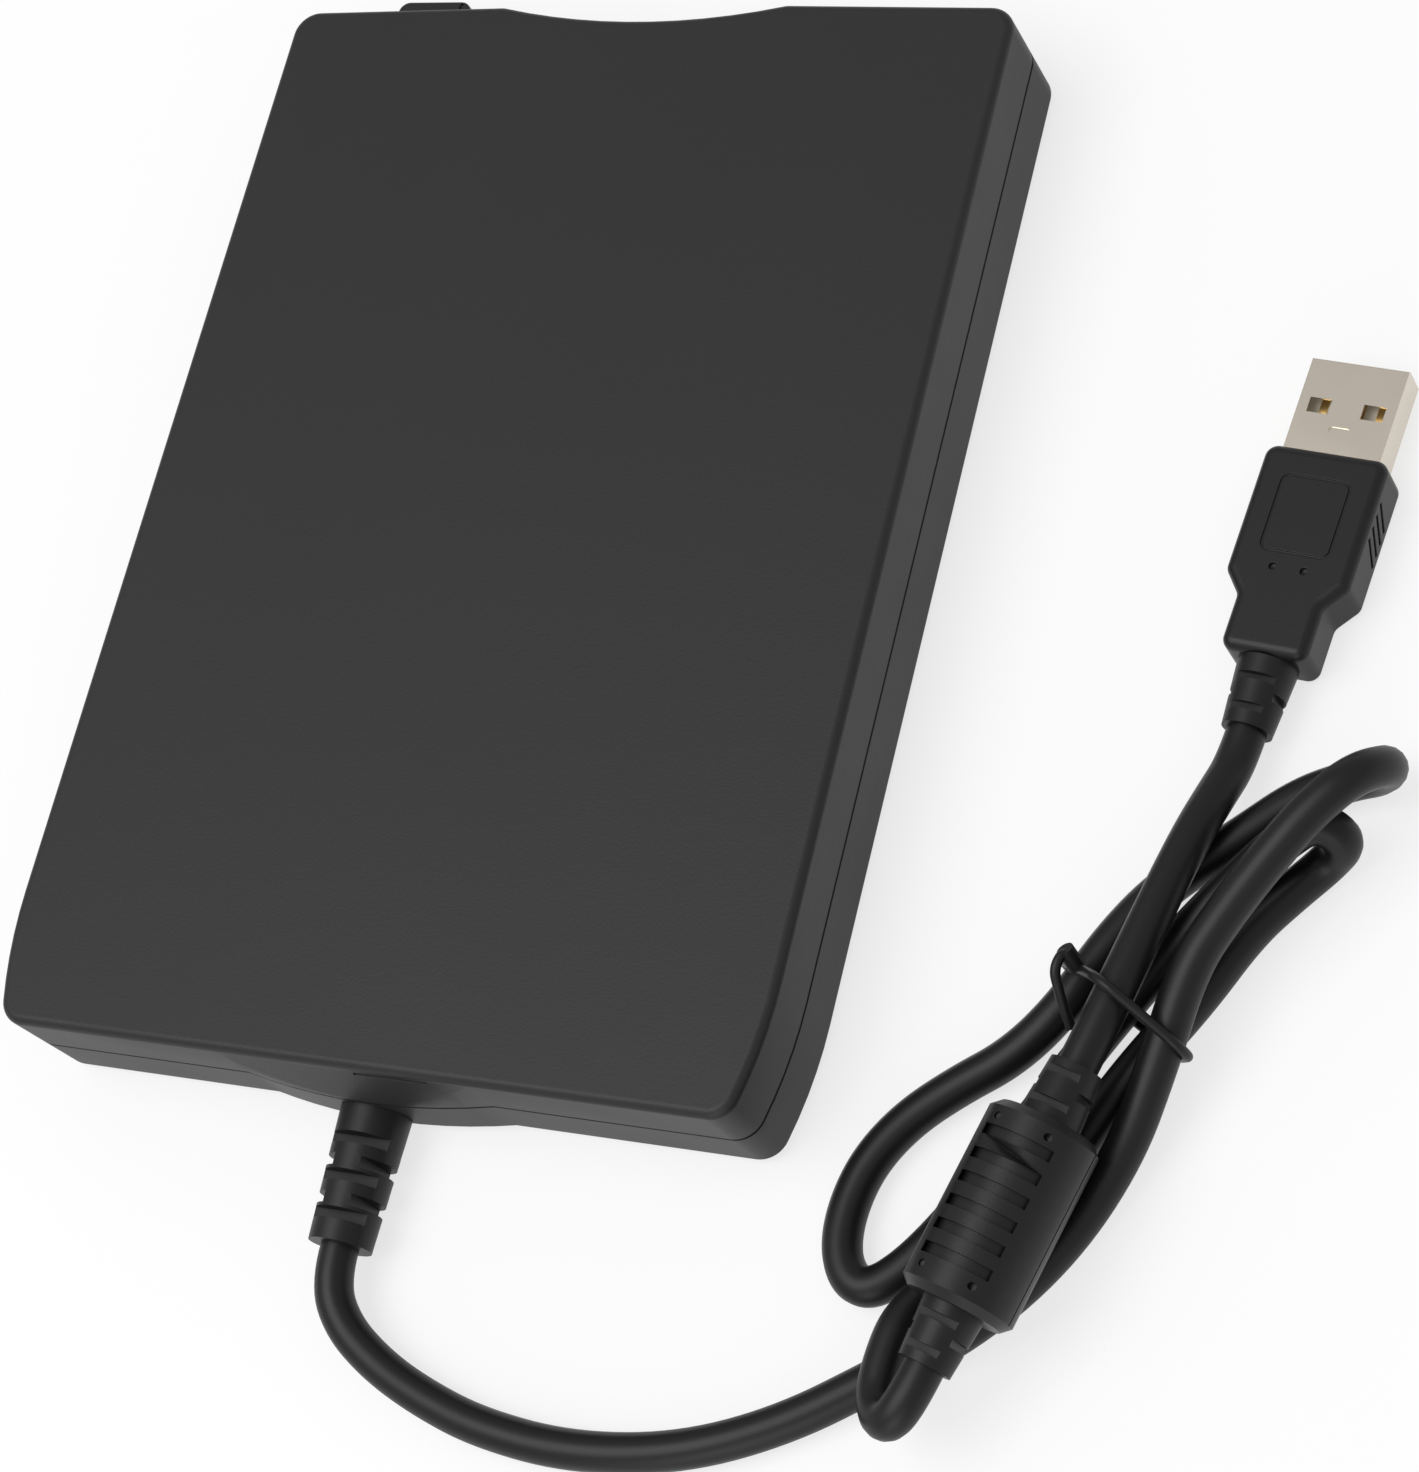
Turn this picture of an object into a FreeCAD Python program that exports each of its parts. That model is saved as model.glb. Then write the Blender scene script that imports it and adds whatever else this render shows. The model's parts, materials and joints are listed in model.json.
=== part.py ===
import FreeCAD, Part
import math
import os
import Sketcher

# External USB floppy disk drive. Millimetres, front at -Y, cable at +Y, +X to the right seen from
# the front, Z up from the table. Pieces are laid out about the middle of the case, and all of them
# are then moved along Y by centre_y, which puts the origin under the middle of the whole drive.

DOC = FreeCAD.newDocument("FloppyDrive")
NODES = []

# Driving sizes: name, value, what it is
SIZES = [
    ("case_width", 104.0, "outer width of the case"),
    ("case_length", 144.0, "front corner to rear wall"),
    ("case_top", 18.0, "top face above the table"),
    ("foot_height", 1.0, "lower shell above the table"),
    ("parting_height", 9.4, "line between the two shells"),
    ("wall", 1.6, "shell wall"),
    ("top_round", 1.15, "rounding of the top edge"),
    ("bottom_round", 1.0, "rounding of the lower edge"),
    ("corner_round", 3.5, "plan radius of the four corners"),
    ("peak_round", 3.0, "plan radius where the finger scoop ends"),
    ("centre_y", 3.1, "shift of the case from the origin"),
    ("scoop_half", 20.5, "half width of the finger scoop"),
    ("scoop_depth", 2.2, "depth of the finger scoop"),
    ("front_bow", 0.6, "how far the scoop's ends stand out"),
    ("rear_taper", 17.0, "length of the curved narrowing at the rear"),
    ("rear_inset", 2.5, "how much the rear corner narrows"),
    ("boss_half", 17.0, "half width of the bulge at the cable"),
    ("boss_depth", 1.7, "how far the bulge stands out"),
    ("boss_x", 1.0, "middle of the bulge"),
    ("mouth_half", 48.6, "half width of the front opening"),
    ("mouth_low", 3.2, "lower edge of the front opening"),
    ("mouth_high", 15.8, "upper edge of the front opening"),
    ("bezel_set", 2.0, "bezel face behind the case's front corner"),
    ("bezel_thick", 2.0, "bezel plate"),
    ("gap", 0.3, "clearance between moving pieces"),
    ("slim_gap", 0.1, "clearance between assembled pieces"),
    ("run_fit", 0.05, "radial clearance of a running fit"),
    ("slot_half", 46.0, "half width of the disk slot"),
    ("slot_low", 8.7, "lower edge of the disk slot"),
    ("slot_high", 13.5, "upper edge of the disk slot"),
    ("door_thick", 0.8, "dust door plate"),
    ("pin_radius", 0.5, "dust door pin"),
    ("barrel_radius", 0.9, "dust door barrel"),
    ("frame_width", 96.0, "mechanism width"),
    ("frame_front", 65.2, "mechanism front edge ahead of the case middle"),
    ("frame_rear", 60.0, "mechanism rear edge behind the case middle"),
    ("frame_low", 3.0, "underside of the mechanism"),
    ("frame_high", 15.6, "top of the mechanism's side walls"),
    ("base_thick", 1.0, "mechanism base plate"),
    ("side_thick", 0.8, "mechanism side walls"),
    ("lid_thick", 0.4, "mechanism lid"),
    ("lid_front", 59.4, "front edge of the mechanism lid"),
    ("lid_screw_x", 43.0, "lid screws from the middle"),
    ("lid_screw_y", 30.4, "lid screws behind the middle"),
    ("disk_rear", 27.5, "leading edge of a disk that is all the way in"),
    ("disk_width", 90.0, "width of a 3.5 inch disk"),
    ("holder_play", 0.3, "side play of the disk in its holder"),
    ("holder_floor", 6.8, "inner floor of the lowered holder"),
    ("holder_inner", 4.4, "inner height of the holder"),
    ("holder_sheet", 0.5, "holder sheet"),
    ("holder_front", 59.6, "front edge of the holder"),
    ("holder_lip", 7.5, "width of the holder's lower lips"),
    ("drop", 2.1, "holder travel"),
    ("stroke", 4.2, "eject travel"),
    ("rail_sheet", 0.6, "slide plate sheet"),
    ("rail_low", 5.4, "lower edge of the slide rails"),
    ("rail_high", 14.8, "upper edge of the slide rails"),
    ("bridge_front", 50.0, "front edge of the slide's bridge, ahead of the middle"),
    ("bridge_rear", 22.0, "rear edge of the slide's bridge, ahead of the middle"),
    ("rail_front", 58.0, "front edge of the slide rails"),
    ("rail_rear", 22.0, "rear edge of the slide rails"),
    ("guide_pin", 0.75, "radius of the holder's guide pins"),
    ("pin_front", 50.0, "front pair of guide pins ahead of the middle"),
    ("pin_rear", 14.0, "rear pair of guide pins behind the middle"),
    ("pin_height", 8.6, "guide pins with the holder lowered"),
    ("button_left", 32.6, "eject button near side"),
    ("button_width", 11.2, "eject button width"),
    ("button_low", 3.9, "eject button underside"),
    ("button_high", 7.6, "eject button top"),
    ("button_out", 8.0, "eject button ahead of the case's front corner"),
    ("button_round", 1.6, "eject button corner radius"),
    ("lens_x", 38.0, "indicator lens left of the middle"),
    ("lens_z", 5.9, "indicator lens height"),
    ("lens_radius", 1.25, "indicator lens radius"),
    ("spindle_y", 17.5, "spindle ahead of the middle"),
    ("rotor_radius", 19.0, "spindle rotor"),
    ("rotor_low", 5.2, "underside of the rotor"),
    ("rotor_high", 6.7, "top of the rotor"),
    ("chuck_radius", 12.5, "disk chuck"),
    ("chuck_high", 7.1, "top of the chuck"),
    ("shaft_radius", 2.0, "spindle shaft"),
    ("shaft_high", 8.2, "top of the spindle shaft"),
    ("board_thick", 0.8, "circuit boards"),
    ("head_y", 22.0, "heads at the outer track"),
    ("carriage_travel", 14.8, "head travel over 80 tracks"),
    ("carriage_low", 4.6, "underside of the carriage"),
    ("carriage_high", 6.4, "top of the carriage bed"),
    ("carriage_half", 8.0, "half width of the carriage bed"),
    ("head_top", 8.7, "face of the lower head"),
    ("head_gap", 0.3, "gap between the heads with no disk"),
    ("tower_front", 43.0, "front of the carriage tower"),
    ("tower_deep", 6.0, "depth of the carriage tower"),
    ("tower_half", 6.0, "half width of the carriage tower"),
    ("pivot_z", 11.4, "head arm pivot height"),
    ("pivot_radius", 0.8, "head arm pivot pin"),
    ("arm_low", 10.6, "underside of the head arm"),
    ("arm_thick", 0.7, "head arm plate"),
    ("rod_x", 13.0, "guide rod left of the middle"),
    ("rod_z", 5.7, "guide rod height"),
    ("rod_radius", 1.2, "guide rod"),
    ("screw_x", 14.0, "lead screw right of the middle"),
    ("screw_z", 9.2, "lead screw height"),
    ("screw_radius", 1.5, "lead screw"),
    ("screw_front", 28.5, "front end of the lead screw"),
    ("motor_front", 51.0, "front face of the stepper"),
    ("motor_length", 8.0, "stepper length"),
    ("motor_radius", 5.0, "stepper radius"),
    ("lever_x", 31.0, "shutter lever pivot left of the middle"),
    ("lever_y", 33.0, "shutter lever pivot behind the middle"),
    ("lever_z", 9.4, "underside of the shutter lever"),
    ("lever_length", 18.0, "shutter lever"),
    ("sensor_x", 42.0, "outer sensor left of the middle"),
    ("sensor_y", 20.0, "sensors behind the middle"),
    ("sensor_step", 5.5, "spacing of the sensors"),
    ("plunger_radius", 0.6, "sensor plunger"),
    ("plunger_top", 7.05, "top of the sensor plungers"),
    ("screw_head", 2.4, "case screw head radius"),
    ("screw_shank", 1.1, "case screw shank radius"),
    ("post_x", 46.2, "rear case posts from the middle"),
    ("post_y", 64.4, "rear case posts behind the middle"),
    ("foot_x", 41.0, "feet from the middle"),
    ("foot_y", 58.5, "feet ahead of and behind the middle"),
    ("foot_radius", 4.5, "rubber foot radius"),
    ("cable_radius", 2.35, "cable"),
    ("boot_x", 1.9, "cable boot sideways"),
    ("boot_z", 4.7, "cable boot height"),
    ("boot_length", 16.5, "cable boot outside the case"),
    ("boot_radius", 4.4, "cable boot at the case"),
    ("boot_end", 3.9, "cable boot at its tip"),
    ("neck_radius", 3.0, "boot neck in the case wall"),
    ("ferrite_radius", 6.6, "ferrite housing"),
    ("ferrite_length", 22.5, "ferrite housing length"),
    ("small_boot", 3.6, "small boots at the housing and plug"),
    ("small_boot_length", 6.9, "length of the housing's boots"),
    ("plug_width", 15.0, "plug grip width"),
    ("plug_height", 7.6, "plug grip height"),
    ("shell_width", 12.0, "plug shell width"),
    ("shell_height", 4.5, "plug shell height"),
    ("shell_length", 12.0, "plug shell beyond its grip"),
    ("shell_sheet", 0.3, "plug shell sheet"),
    ("tie_radius", 0.6, "twist tie"),
]


class Size:
    """A number that remembers the sheet formula it came from."""

    def __init__(self, value, formula=None):
        self.value = float(value)
        self.formula = formula if formula is not None else repr(float(value))

    def __add__(self, other):
        other = size(other)
        return Size(self.value + other.value, "(%s + %s)" % (self.formula, other.formula))

    def __sub__(self, other):
        other = size(other)
        return Size(self.value - other.value, "(%s - %s)" % (self.formula, other.formula))

    def __mul__(self, other):
        other = size(other)
        return Size(self.value * other.value, "(%s * %s)" % (self.formula, other.formula))

    def __truediv__(self, other):
        other = size(other)
        return Size(self.value / other.value, "(%s / %s)" % (self.formula, other.formula))

    def __neg__(self):
        return Size(-self.value, "(0 - %s)" % self.formula)

    def __radd__(self, other):
        return size(other) + self

    def __rsub__(self, other):
        return size(other) - self

    def __rmul__(self, other):
        return size(other) * self

    def __float__(self):
        return self.value


def size(value):
    return value if isinstance(value, Size) else Size(value)


def make_sheet():
    """Fill the sheet and return every driving size by name."""
    sheet = DOC.addObject("Spreadsheet::Sheet", "Sizes")
    named = {}
    for row, (name, value, words) in enumerate(SIZES, start=1):
        sheet.set("A%d" % row, words)
        sheet.set("B%d" % row, str(value))
        sheet.setAlias("B%d" % row, name)
        named[name] = Size(value, "Sizes." + name)
    DOC.recompute()
    return named


S = make_sheet()
HALF_WIDTH = S["case_width"] / 2
FRONT = -(S["case_length"] / 2)
REAR = S["case_length"] / 2
BEZEL_FACE = FRONT + S["bezel_set"]
BEZEL_BACK = BEZEL_FACE + S["bezel_thick"]
INNER_FLOOR = S["foot_height"] + S["wall"]
INNER_ROOF = S["case_top"] - S["wall"]
BASE_TOP = S["frame_low"] + S["base_thick"]
FRAME_HALF = S["frame_width"] / 2
AXES = {"x": FreeCAD.Rotation(FreeCAD.Vector(0, 1, 0), 90),
        "y": FreeCAD.Rotation(FreeCAD.Vector(1, 0, 0), -90),
        "z": FreeCAD.Rotation()}


def bind(thing, place, value):
    thing.setExpression(place, size(value).formula)


def place_at(thing, point):
    for letter, value in zip("xyz", point):
        bind(thing, "Placement.Base." + letter, value)


def box(name, x, y, z):
    """A block between two corners: x, y and z are (low, high) pairs."""
    block = DOC.addObject("Part::Box", name)
    for side, (low, high) in zip(("Length", "Width", "Height"), (x, y, z)):
        bind(block, side, size(high) - size(low))
    place_at(block, (x[0], y[0], z[0]))
    return block


def rod(name, start, radius, length, axis="z"):
    """A cylinder from its start point along an axis."""
    solid = DOC.addObject("Part::Cylinder", name)
    solid.Placement = FreeCAD.Placement(FreeCAD.Vector(), AXES[axis])
    bind(solid, "Radius", radius)
    bind(solid, "Height", length)
    place_at(solid, start)
    return solid


def cone(name, start, low_radius, high_radius, length, axis="z"):
    solid = DOC.addObject("Part::Cone", name)
    solid.Placement = FreeCAD.Placement(FreeCAD.Vector(), AXES[axis])
    bind(solid, "Radius1", low_radius)
    bind(solid, "Radius2", high_radius)
    bind(solid, "Height", length)
    place_at(solid, start)
    return solid


def join(name, parts):
    if len(parts) == 1:
        return parts[0]
    union = DOC.addObject("Part::MultiFuse", name)
    union.Shapes = parts
    return union


def carve(name, base, tools):
    """The base less every tool."""
    result = DOC.addObject("Part::Cut", name)
    result.Base = base
    result.Tool = join(name + "_tools", tools)
    return result


def group(name, parts):
    """Several separate solids kept in one node."""
    bundle = DOC.addObject("Part::Compound", name)
    bundle.Links = parts
    return bundle


def node(label, thing):
    """Name a finished piece and move it to its place in the part's frame."""
    if thing.TypeId in ("Part::Box", "Part::Cylinder", "Part::Cone"):
        thing = group(thing.Name + "Piece", [thing])
    thing.Label = label
    bind(thing, "Placement.Base.y", S["centre_y"])
    NODES.append(thing)
    return thing


def turned_node(label, thing, spot, degrees):
    """A piece drawn along its own Y axis, turned about Z and set on its spot."""
    thing = node(label, group(thing.Name + "Turned", [thing]))
    thing.Placement = FreeCAD.Placement(FreeCAD.Vector(), FreeCAD.Rotation(FreeCAD.Vector(0, 0, 1), degrees))
    place_at(thing, (spot[0], spot[1] + S["centre_y"], spot[2]))
    return thing


def plane(body, role):
    return next(item for item in body.Origin.OriginFeatures if item.Role == role)


def sketch(body, name, role, corners, offset=0.0, radii=None):
    """A closed outline through the corners; radii gives, for some sides, an arc's signed radius.

    Side i runs from corner i to the next one. A positive radius bulges to the right of that
    direction and a negative one to the left.
    """
    drawing = body.newObject("Sketcher::SketchObject", name)
    drawing.AttachmentSupport = [(plane(body, role), "")]
    drawing.MapMode = "FlatFace"
    bind(drawing, "AttachmentOffset.Base.z", offset)
    points = [FreeCAD.Vector(float(size(x)), float(size(y)), 0) for x, y in corners]
    ends = []
    for index, start in enumerate(points):
        finish = points[(index + 1) % len(points)]
        radius = (radii or {}).get(index)
        if radius is None:
            drawing.addGeometry(Part.LineSegment(start, finish))
            ends.append((1, 2))
            continue
        amount = abs(float(size(radius)))
        side = 1.0 if float(size(radius)) > 0 else -1.0
        chord = finish - start
        across = FreeCAD.Vector(chord.y, -chord.x, 0).normalize() * side
        sagitta = amount - math.sqrt(amount ** 2 - (chord.Length / 2) ** 2)
        centre = (start + finish) * 0.5 + across * (sagitta - amount)
        circle = Part.Circle(centre, FreeCAD.Vector(0, 0, 1), amount)
        angles = [math.atan2(spot.y - centre.y, spot.x - centre.x) for spot in (start, finish)]
        forward = side > 0
        low, high = angles if forward else angles[::-1]
        while high < low:
            high += 2 * math.pi
        drawing.addGeometry(Part.ArcOfCircle(circle, low, high))
        ends.append((1, 2) if forward else (2, 1))
        row = drawing.addConstraint(Sketcher.Constraint("Radius", index, amount))
        drawing.setExpression("Constraints[%d]" % row, size(radius * side).formula)
    for index, (x, y) in enumerate(corners):
        before = (index - 1) % len(points)
        drawing.addConstraint(
            Sketcher.Constraint("Coincident", before, ends[before][1], index, ends[index][0]))
        for kind, value in (("DistanceX", x), ("DistanceY", y)):
            row = drawing.addConstraint(
                Sketcher.Constraint(kind, -1, 1, index, ends[index][0], float(size(value))))
            drawing.setExpression("Constraints[%d]" % row, size(value).formula)
    return drawing


def new_body(name):
    return DOC.addObject("PartDesign::Body", name)


def pad(body, drawing, length, name="Pad"):
    feature = body.newObject("PartDesign::Pad", name)
    feature.Profile = drawing
    bind(feature, "Length", length)
    return feature


def pocket(body, drawing, length, name="Pocket"):
    """A cut from the sketch against its normal."""
    feature = body.newObject("PartDesign::Pocket", name)
    feature.Profile = drawing
    bind(feature, "Length", length)
    return feature


def round_edges(body, feature, chosen, radius, name="Fillet"):
    """Fillet the edges of the body that the test picks out."""
    DOC.recompute()
    names = ["Edge%d" % (index + 1) for index, edge in enumerate(feature.Shape.Edges) if chosen(edge)]
    rounding = body.newObject("PartDesign::Fillet", name)
    rounding.Base = (feature, names)
    bind(rounding, "Radius", radius)
    return rounding


def upright(edge):
    low, high = edge.BoundBox.ZMin, edge.BoundBox.ZMax
    return high - low > 1.0 and edge.BoundBox.XLength + edge.BoundBox.YLength < 0.01


def level_at(height):
    level = float(size(height))
    return lambda edge: abs(edge.BoundBox.ZMin - level) < 0.001 and edge.BoundBox.ZLength < 0.001


def radius_of(half_chord, sagitta):
    """Radius of an arc from half its chord and its height."""
    return (half_chord * half_chord + sagitta * sagitta) / (sagitta * 2)


# Case

def case_outline(body, name, offset):
    """Plan of the case: finger scoop at the front, narrowing curve at the rear."""
    scoop_y = FRONT - S["front_bow"]
    corner_x = HALF_WIDTH - S["rear_inset"]
    taper_y = REAR - S["rear_taper"]
    corners = [(-S["scoop_half"], scoop_y), (S["scoop_half"], scoop_y), (HALF_WIDTH, FRONT),
               (HALF_WIDTH, taper_y), (corner_x, REAR), (-corner_x, REAR), (-HALF_WIDTH, taper_y),
               (-HALF_WIDTH, FRONT)]
    taper = (S["rear_taper"] * S["rear_taper"] + S["rear_inset"] * S["rear_inset"]) / (S["rear_inset"] * 2)
    return sketch(body, name, "XY_Plane", corners, offset,
                  {0: -radius_of(S["scoop_half"], S["scoop_depth"]), 3: taper, 5: taper})


def inner_outline(body, name, offset):
    """Plan of the hollow, one wall inside the case."""
    half = HALF_WIDTH - S["wall"]
    back = REAR - S["wall"]
    taper_y = REAR - S["rear_taper"]
    shoulder_y = back - S["corner_round"]
    shoulder_x = half - S["rear_inset"]
    corners = [(-half, FRONT + S["wall"] + S["scoop_depth"]), (half, FRONT + S["wall"] + S["scoop_depth"]),
               (half, taper_y), (shoulder_x, shoulder_y),
               (shoulder_x - S["corner_round"], back), (S["corner_round"] - shoulder_x, back),
               (-shoulder_x, shoulder_y), (-half, taper_y)]
    return sketch(body, name, "XY_Plane", corners, offset)


def shell_body(name, low, high, rounded_level, rounding, hollow_low, hollow_high):
    """One half of the case with its plan corners and one rounded rim."""
    body = new_body(name)
    block = pad(body, case_outline(body, name + "Plan", low), high - low)

    def at_peak(edge):
        return upright(edge) and abs(edge.BoundBox.XMin) < float(S["scoop_half"]) + 1.0

    def at_corner(edge):
        inside = HALF_WIDTH - S["rear_inset"] - 1.0
        return (upright(edge) and abs(edge.BoundBox.XMin) > float(inside)
                and abs(edge.BoundBox.YMin) > float(REAR) - 1.0)

    step = round_edges(body, block, at_corner, S["corner_round"], "CornerRound")
    step = round_edges(body, step, at_peak, S["peak_round"], "PeakRound")
    step = round_edges(body, step, level_at(rounded_level), rounding, "RimRound")
    hollow = inner_outline(body, name + "Hollow", hollow_high)
    pocket(body, hollow, hollow_high - hollow_low, "Hollow")
    return body


def boss_block(name, low, high):
    """The bulge round the cable, faded out towards the top."""
    radius = radius_of(S["boss_half"], S["boss_depth"])
    round_part = rod(name + "_arc", (S["boss_x"], REAR + S["boss_depth"] - radius, low), radius, high - low)
    window = box(name + "_window", (S["boss_x"] - S["boss_half"], S["boss_x"] + S["boss_half"]),
                 (REAR - S["wall"], REAR + S["boss_depth"] + 1), (low, high))
    common = DOC.addObject("Part::Common", name + "_common")
    common.Base = round_part
    common.Tool = window
    return common


def boss_slope(name):
    """Slanted cutter that brings the bulge back to the wall near the top."""
    cutter = DOC.addObject("Part::Wedge", name)
    rise_low = S["parting_height"] + 1.2
    rise_high = S["case_top"] - S["top_round"]
    far = REAR + S["boss_depth"] * 3
    for place, value in (("Xmin", -S["boss_half"] * 2), ("Xmax", S["boss_half"] * 2),
                         ("X2min", -S["boss_half"] * 2), ("X2max", S["boss_half"] * 2),
                         ("Ymin", rise_low), ("Ymax", rise_high),
                         ("Zmin", -far), ("Zmax", -(REAR + S["boss_depth"])),
                         ("Z2min", -far), ("Z2max", -REAR)):
        bind(cutter, place, value)
    cutter.Placement = FreeCAD.Placement(FreeCAD.Vector(), FreeCAD.Rotation(FreeCAD.Vector(1, 0, 0), 90))
    return cutter


def mouth_cutter(name):
    return box(name, (-S["mouth_half"], S["mouth_half"]), (FRONT - 6, BEZEL_BACK + 3),
               (S["mouth_low"], S["mouth_high"]))


def bottom_cover():
    low, high = S["foot_height"], S["parting_height"]
    body = shell_body("BottomShell", low, high, low, S["bottom_round"], INNER_FLOOR, high)
    adds = [body, boss_block("BottomBoss", low + 1.2, high)]
    rib_half = 2.5
    for sign in (-1, 1):
        for y in (-45.0, 0.0, 45.0):
            adds.append(box("Rib", (sign * 40.0 - rib_half, sign * 40.0 + rib_half), (y - 2.0, y + 2.0),
                            (S["foot_height"] + 0.5, S["frame_low"])))
        adds.append(rod("Post", (sign * S["post_x"], S["post_y"], INNER_FLOOR - 0.2), S["screw_head"] + 0.6,
                        S["parting_height"] - INNER_FLOOR + 0.2))
    tools = [mouth_cutter("BottomMouth"),
             rod("NeckHole", (S["boot_x"], REAR - S["wall"] - 1, S["boot_z"]), S["neck_radius"],
                 S["wall"] + S["boss_depth"] + 3, "y"),
             box("NeckSlot", (S["boot_x"] - S["neck_radius"], S["boot_x"] + S["neck_radius"]),
                 (REAR - S["wall"] - 1, REAR - S["wall"]), (S["boot_z"], S["boot_z"] + 0.5))]
    for sign in (-1, 1):
        spot = (sign * S["post_x"], S["post_y"])
        tools.append(rod("ScrewWay", (spot[0], spot[1], 0.0), S["screw_shank"], S["case_top"]))
        tools.append(rod("HeadWay", (spot[0], spot[1], 0.0), S["screw_head"], INNER_FLOOR + 1))
        for end in (-1, 1):
            tools.append(rod("FootSeat", (sign * S["foot_x"], end * S["foot_y"], 0.0), S["foot_radius"],
                             S["foot_height"] + 0.4))
    node("bottom_cover", carve("BottomCover", join("BottomJoined", adds), tools))


def top_cover():
    low, high = S["parting_height"], S["case_top"]
    body = shell_body("TopShell", low, high, high, S["top_round"], low, INNER_ROOF)
    bulge = carve("TopBulge", boss_block("TopBoss", low, high - S["top_round"]), [boss_slope("BossSlope")])
    adds = [body, bulge]
    for sign in (-1, 1):
        adds.append(rod("TopPost", (sign * S["post_x"], S["post_y"], low), S["screw_head"] + 0.6,
                        INNER_ROOF - low + 0.2))
    tools = [mouth_cutter("TopMouth")]
    for sign in (-1, 1):
        tools.append(rod("TopScrewWay", (sign * S["post_x"], S["post_y"], low), S["screw_shank"], 4.0))
    node("top_cover", carve("TopCover", join("TopJoined", adds), tools))


def case_fittings():
    screws = []
    feet = []
    for sign in (-1, 1):
        x, y = sign * S["post_x"], S["post_y"]
        head = rod("ScrewHead", (x, y, S["foot_height"] + 0.9), S["screw_head"],
                   INNER_FLOOR + 1 - S["foot_height"] - 0.9)
        shank = rod("ScrewShank", (x, y, S["foot_height"] + 1.2), S["screw_shank"],
                    S["parting_height"] + 3.6 - S["foot_height"] - 1.2)
        recess = rod("ScrewRecess", (x, y, S["foot_height"] + 0.9), S["screw_shank"] * 0.8, 0.7)
        screws.append(carve("CaseScrew", join("ScrewBlank", [head, shank]), [recess]))
        for end in (-1, 1):
            feet.append(cone("Foot", (sign * S["foot_x"], end * S["foot_y"], 0.0), S["foot_radius"] - 0.5,
                             S["foot_radius"], S["foot_height"] + 0.4))
    node("case_screws", group("CaseScrews", screws))
    node("rubber_feet", group("RubberFeet", feet))


# Front

def front_bezel():
    low, high = S["mouth_low"] + S["slim_gap"], S["mouth_high"] - S["slim_gap"]
    half = S["mouth_half"] - S["slim_gap"]
    plate = box("BezelPlate", (-half, half), (BEZEL_FACE, BEZEL_BACK), (low, high))
    adds = [plate]
    ear_z = S["slot_high"] + S["barrel_radius"]
    for sign in (-1, 1):
        inner = S["slot_half"] + S["gap"]
        span = (inner, inner + 1.2) if sign > 0 else (-inner - 1.2, -inner)
        adds.append(box("HingeEar", span, (BEZEL_BACK, BEZEL_BACK + 2.2), (ear_z - 1.2, ear_z + 1.1)))
    tools = [box("SlotHole", (-S["slot_half"], S["slot_half"]), (BEZEL_FACE - 1, BEZEL_BACK + 1),
                 (S["slot_low"], S["slot_high"])),
             box("ButtonHole", (S["button_left"] - S["gap"], S["button_left"] + S["button_width"] + S["gap"]),
                 (BEZEL_FACE - 1, BEZEL_BACK + 1), (S["button_low"] - S["gap"], S["button_high"] + S["gap"])),
             rod("LensHole", (-S["lens_x"], BEZEL_FACE - 1, S["lens_z"]), S["lens_radius"],
                 S["bezel_thick"] + 2, "y"),
             rod("PinHole", (-S["mouth_half"], BEZEL_BACK + 1.1, ear_z), S["pin_radius"],
                 S["mouth_half"] * 2, "x")]
    node("front_bezel", carve("FrontBezel", join("BezelJoined", adds), tools))


def dust_door():
    axis_y, axis_z = BEZEL_BACK + 1.1, S["slot_high"] + S["barrel_radius"]
    half = S["slot_half"] - S["gap"]
    plate = box("DoorPlate", (-half, half), (axis_y - S["door_thick"] / 2, axis_y + S["door_thick"] / 2),
                (S["slot_low"] - 0.1, axis_z))
    barrel = rod("DoorBarrel", (-half, axis_y, axis_z), S["barrel_radius"], half * 2, "x")
    bore = rod("DoorBore", (-half - 1, axis_y, axis_z), S["pin_radius"] + S["run_fit"], half * 2 + 2, "x")
    node("dust_door", carve("DustDoor", join("DoorBlank", [plate, barrel]), [bore]))
    ear = S["slot_half"] + S["gap"] + 1.2
    node("dust_door_pin", rod("DoorPin", (-ear, axis_y, axis_z), S["pin_radius"], ear * 2, "x"))


def indicator():
    lens = rod("LensTip", (-S["lens_x"], BEZEL_FACE - 0.2, S["lens_z"]), S["lens_radius"],
               S["bezel_thick"] + 1.8, "y")
    flange = rod("LensFlange", (-S["lens_x"], BEZEL_BACK, S["lens_z"]), S["lens_radius"] + 0.5, 0.6, "y")
    node("indicator_lens", join("IndicatorLens", [lens, flange]))
    back = BEZEL_BACK + 1.6
    node("indicator_led", box("IndicatorLed", (-S["lens_x"] - 1.0, -S["lens_x"] + 1.0), (back, back + 1.2),
                              (BASE_TOP, S["lens_z"] + 1.0)))


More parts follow.
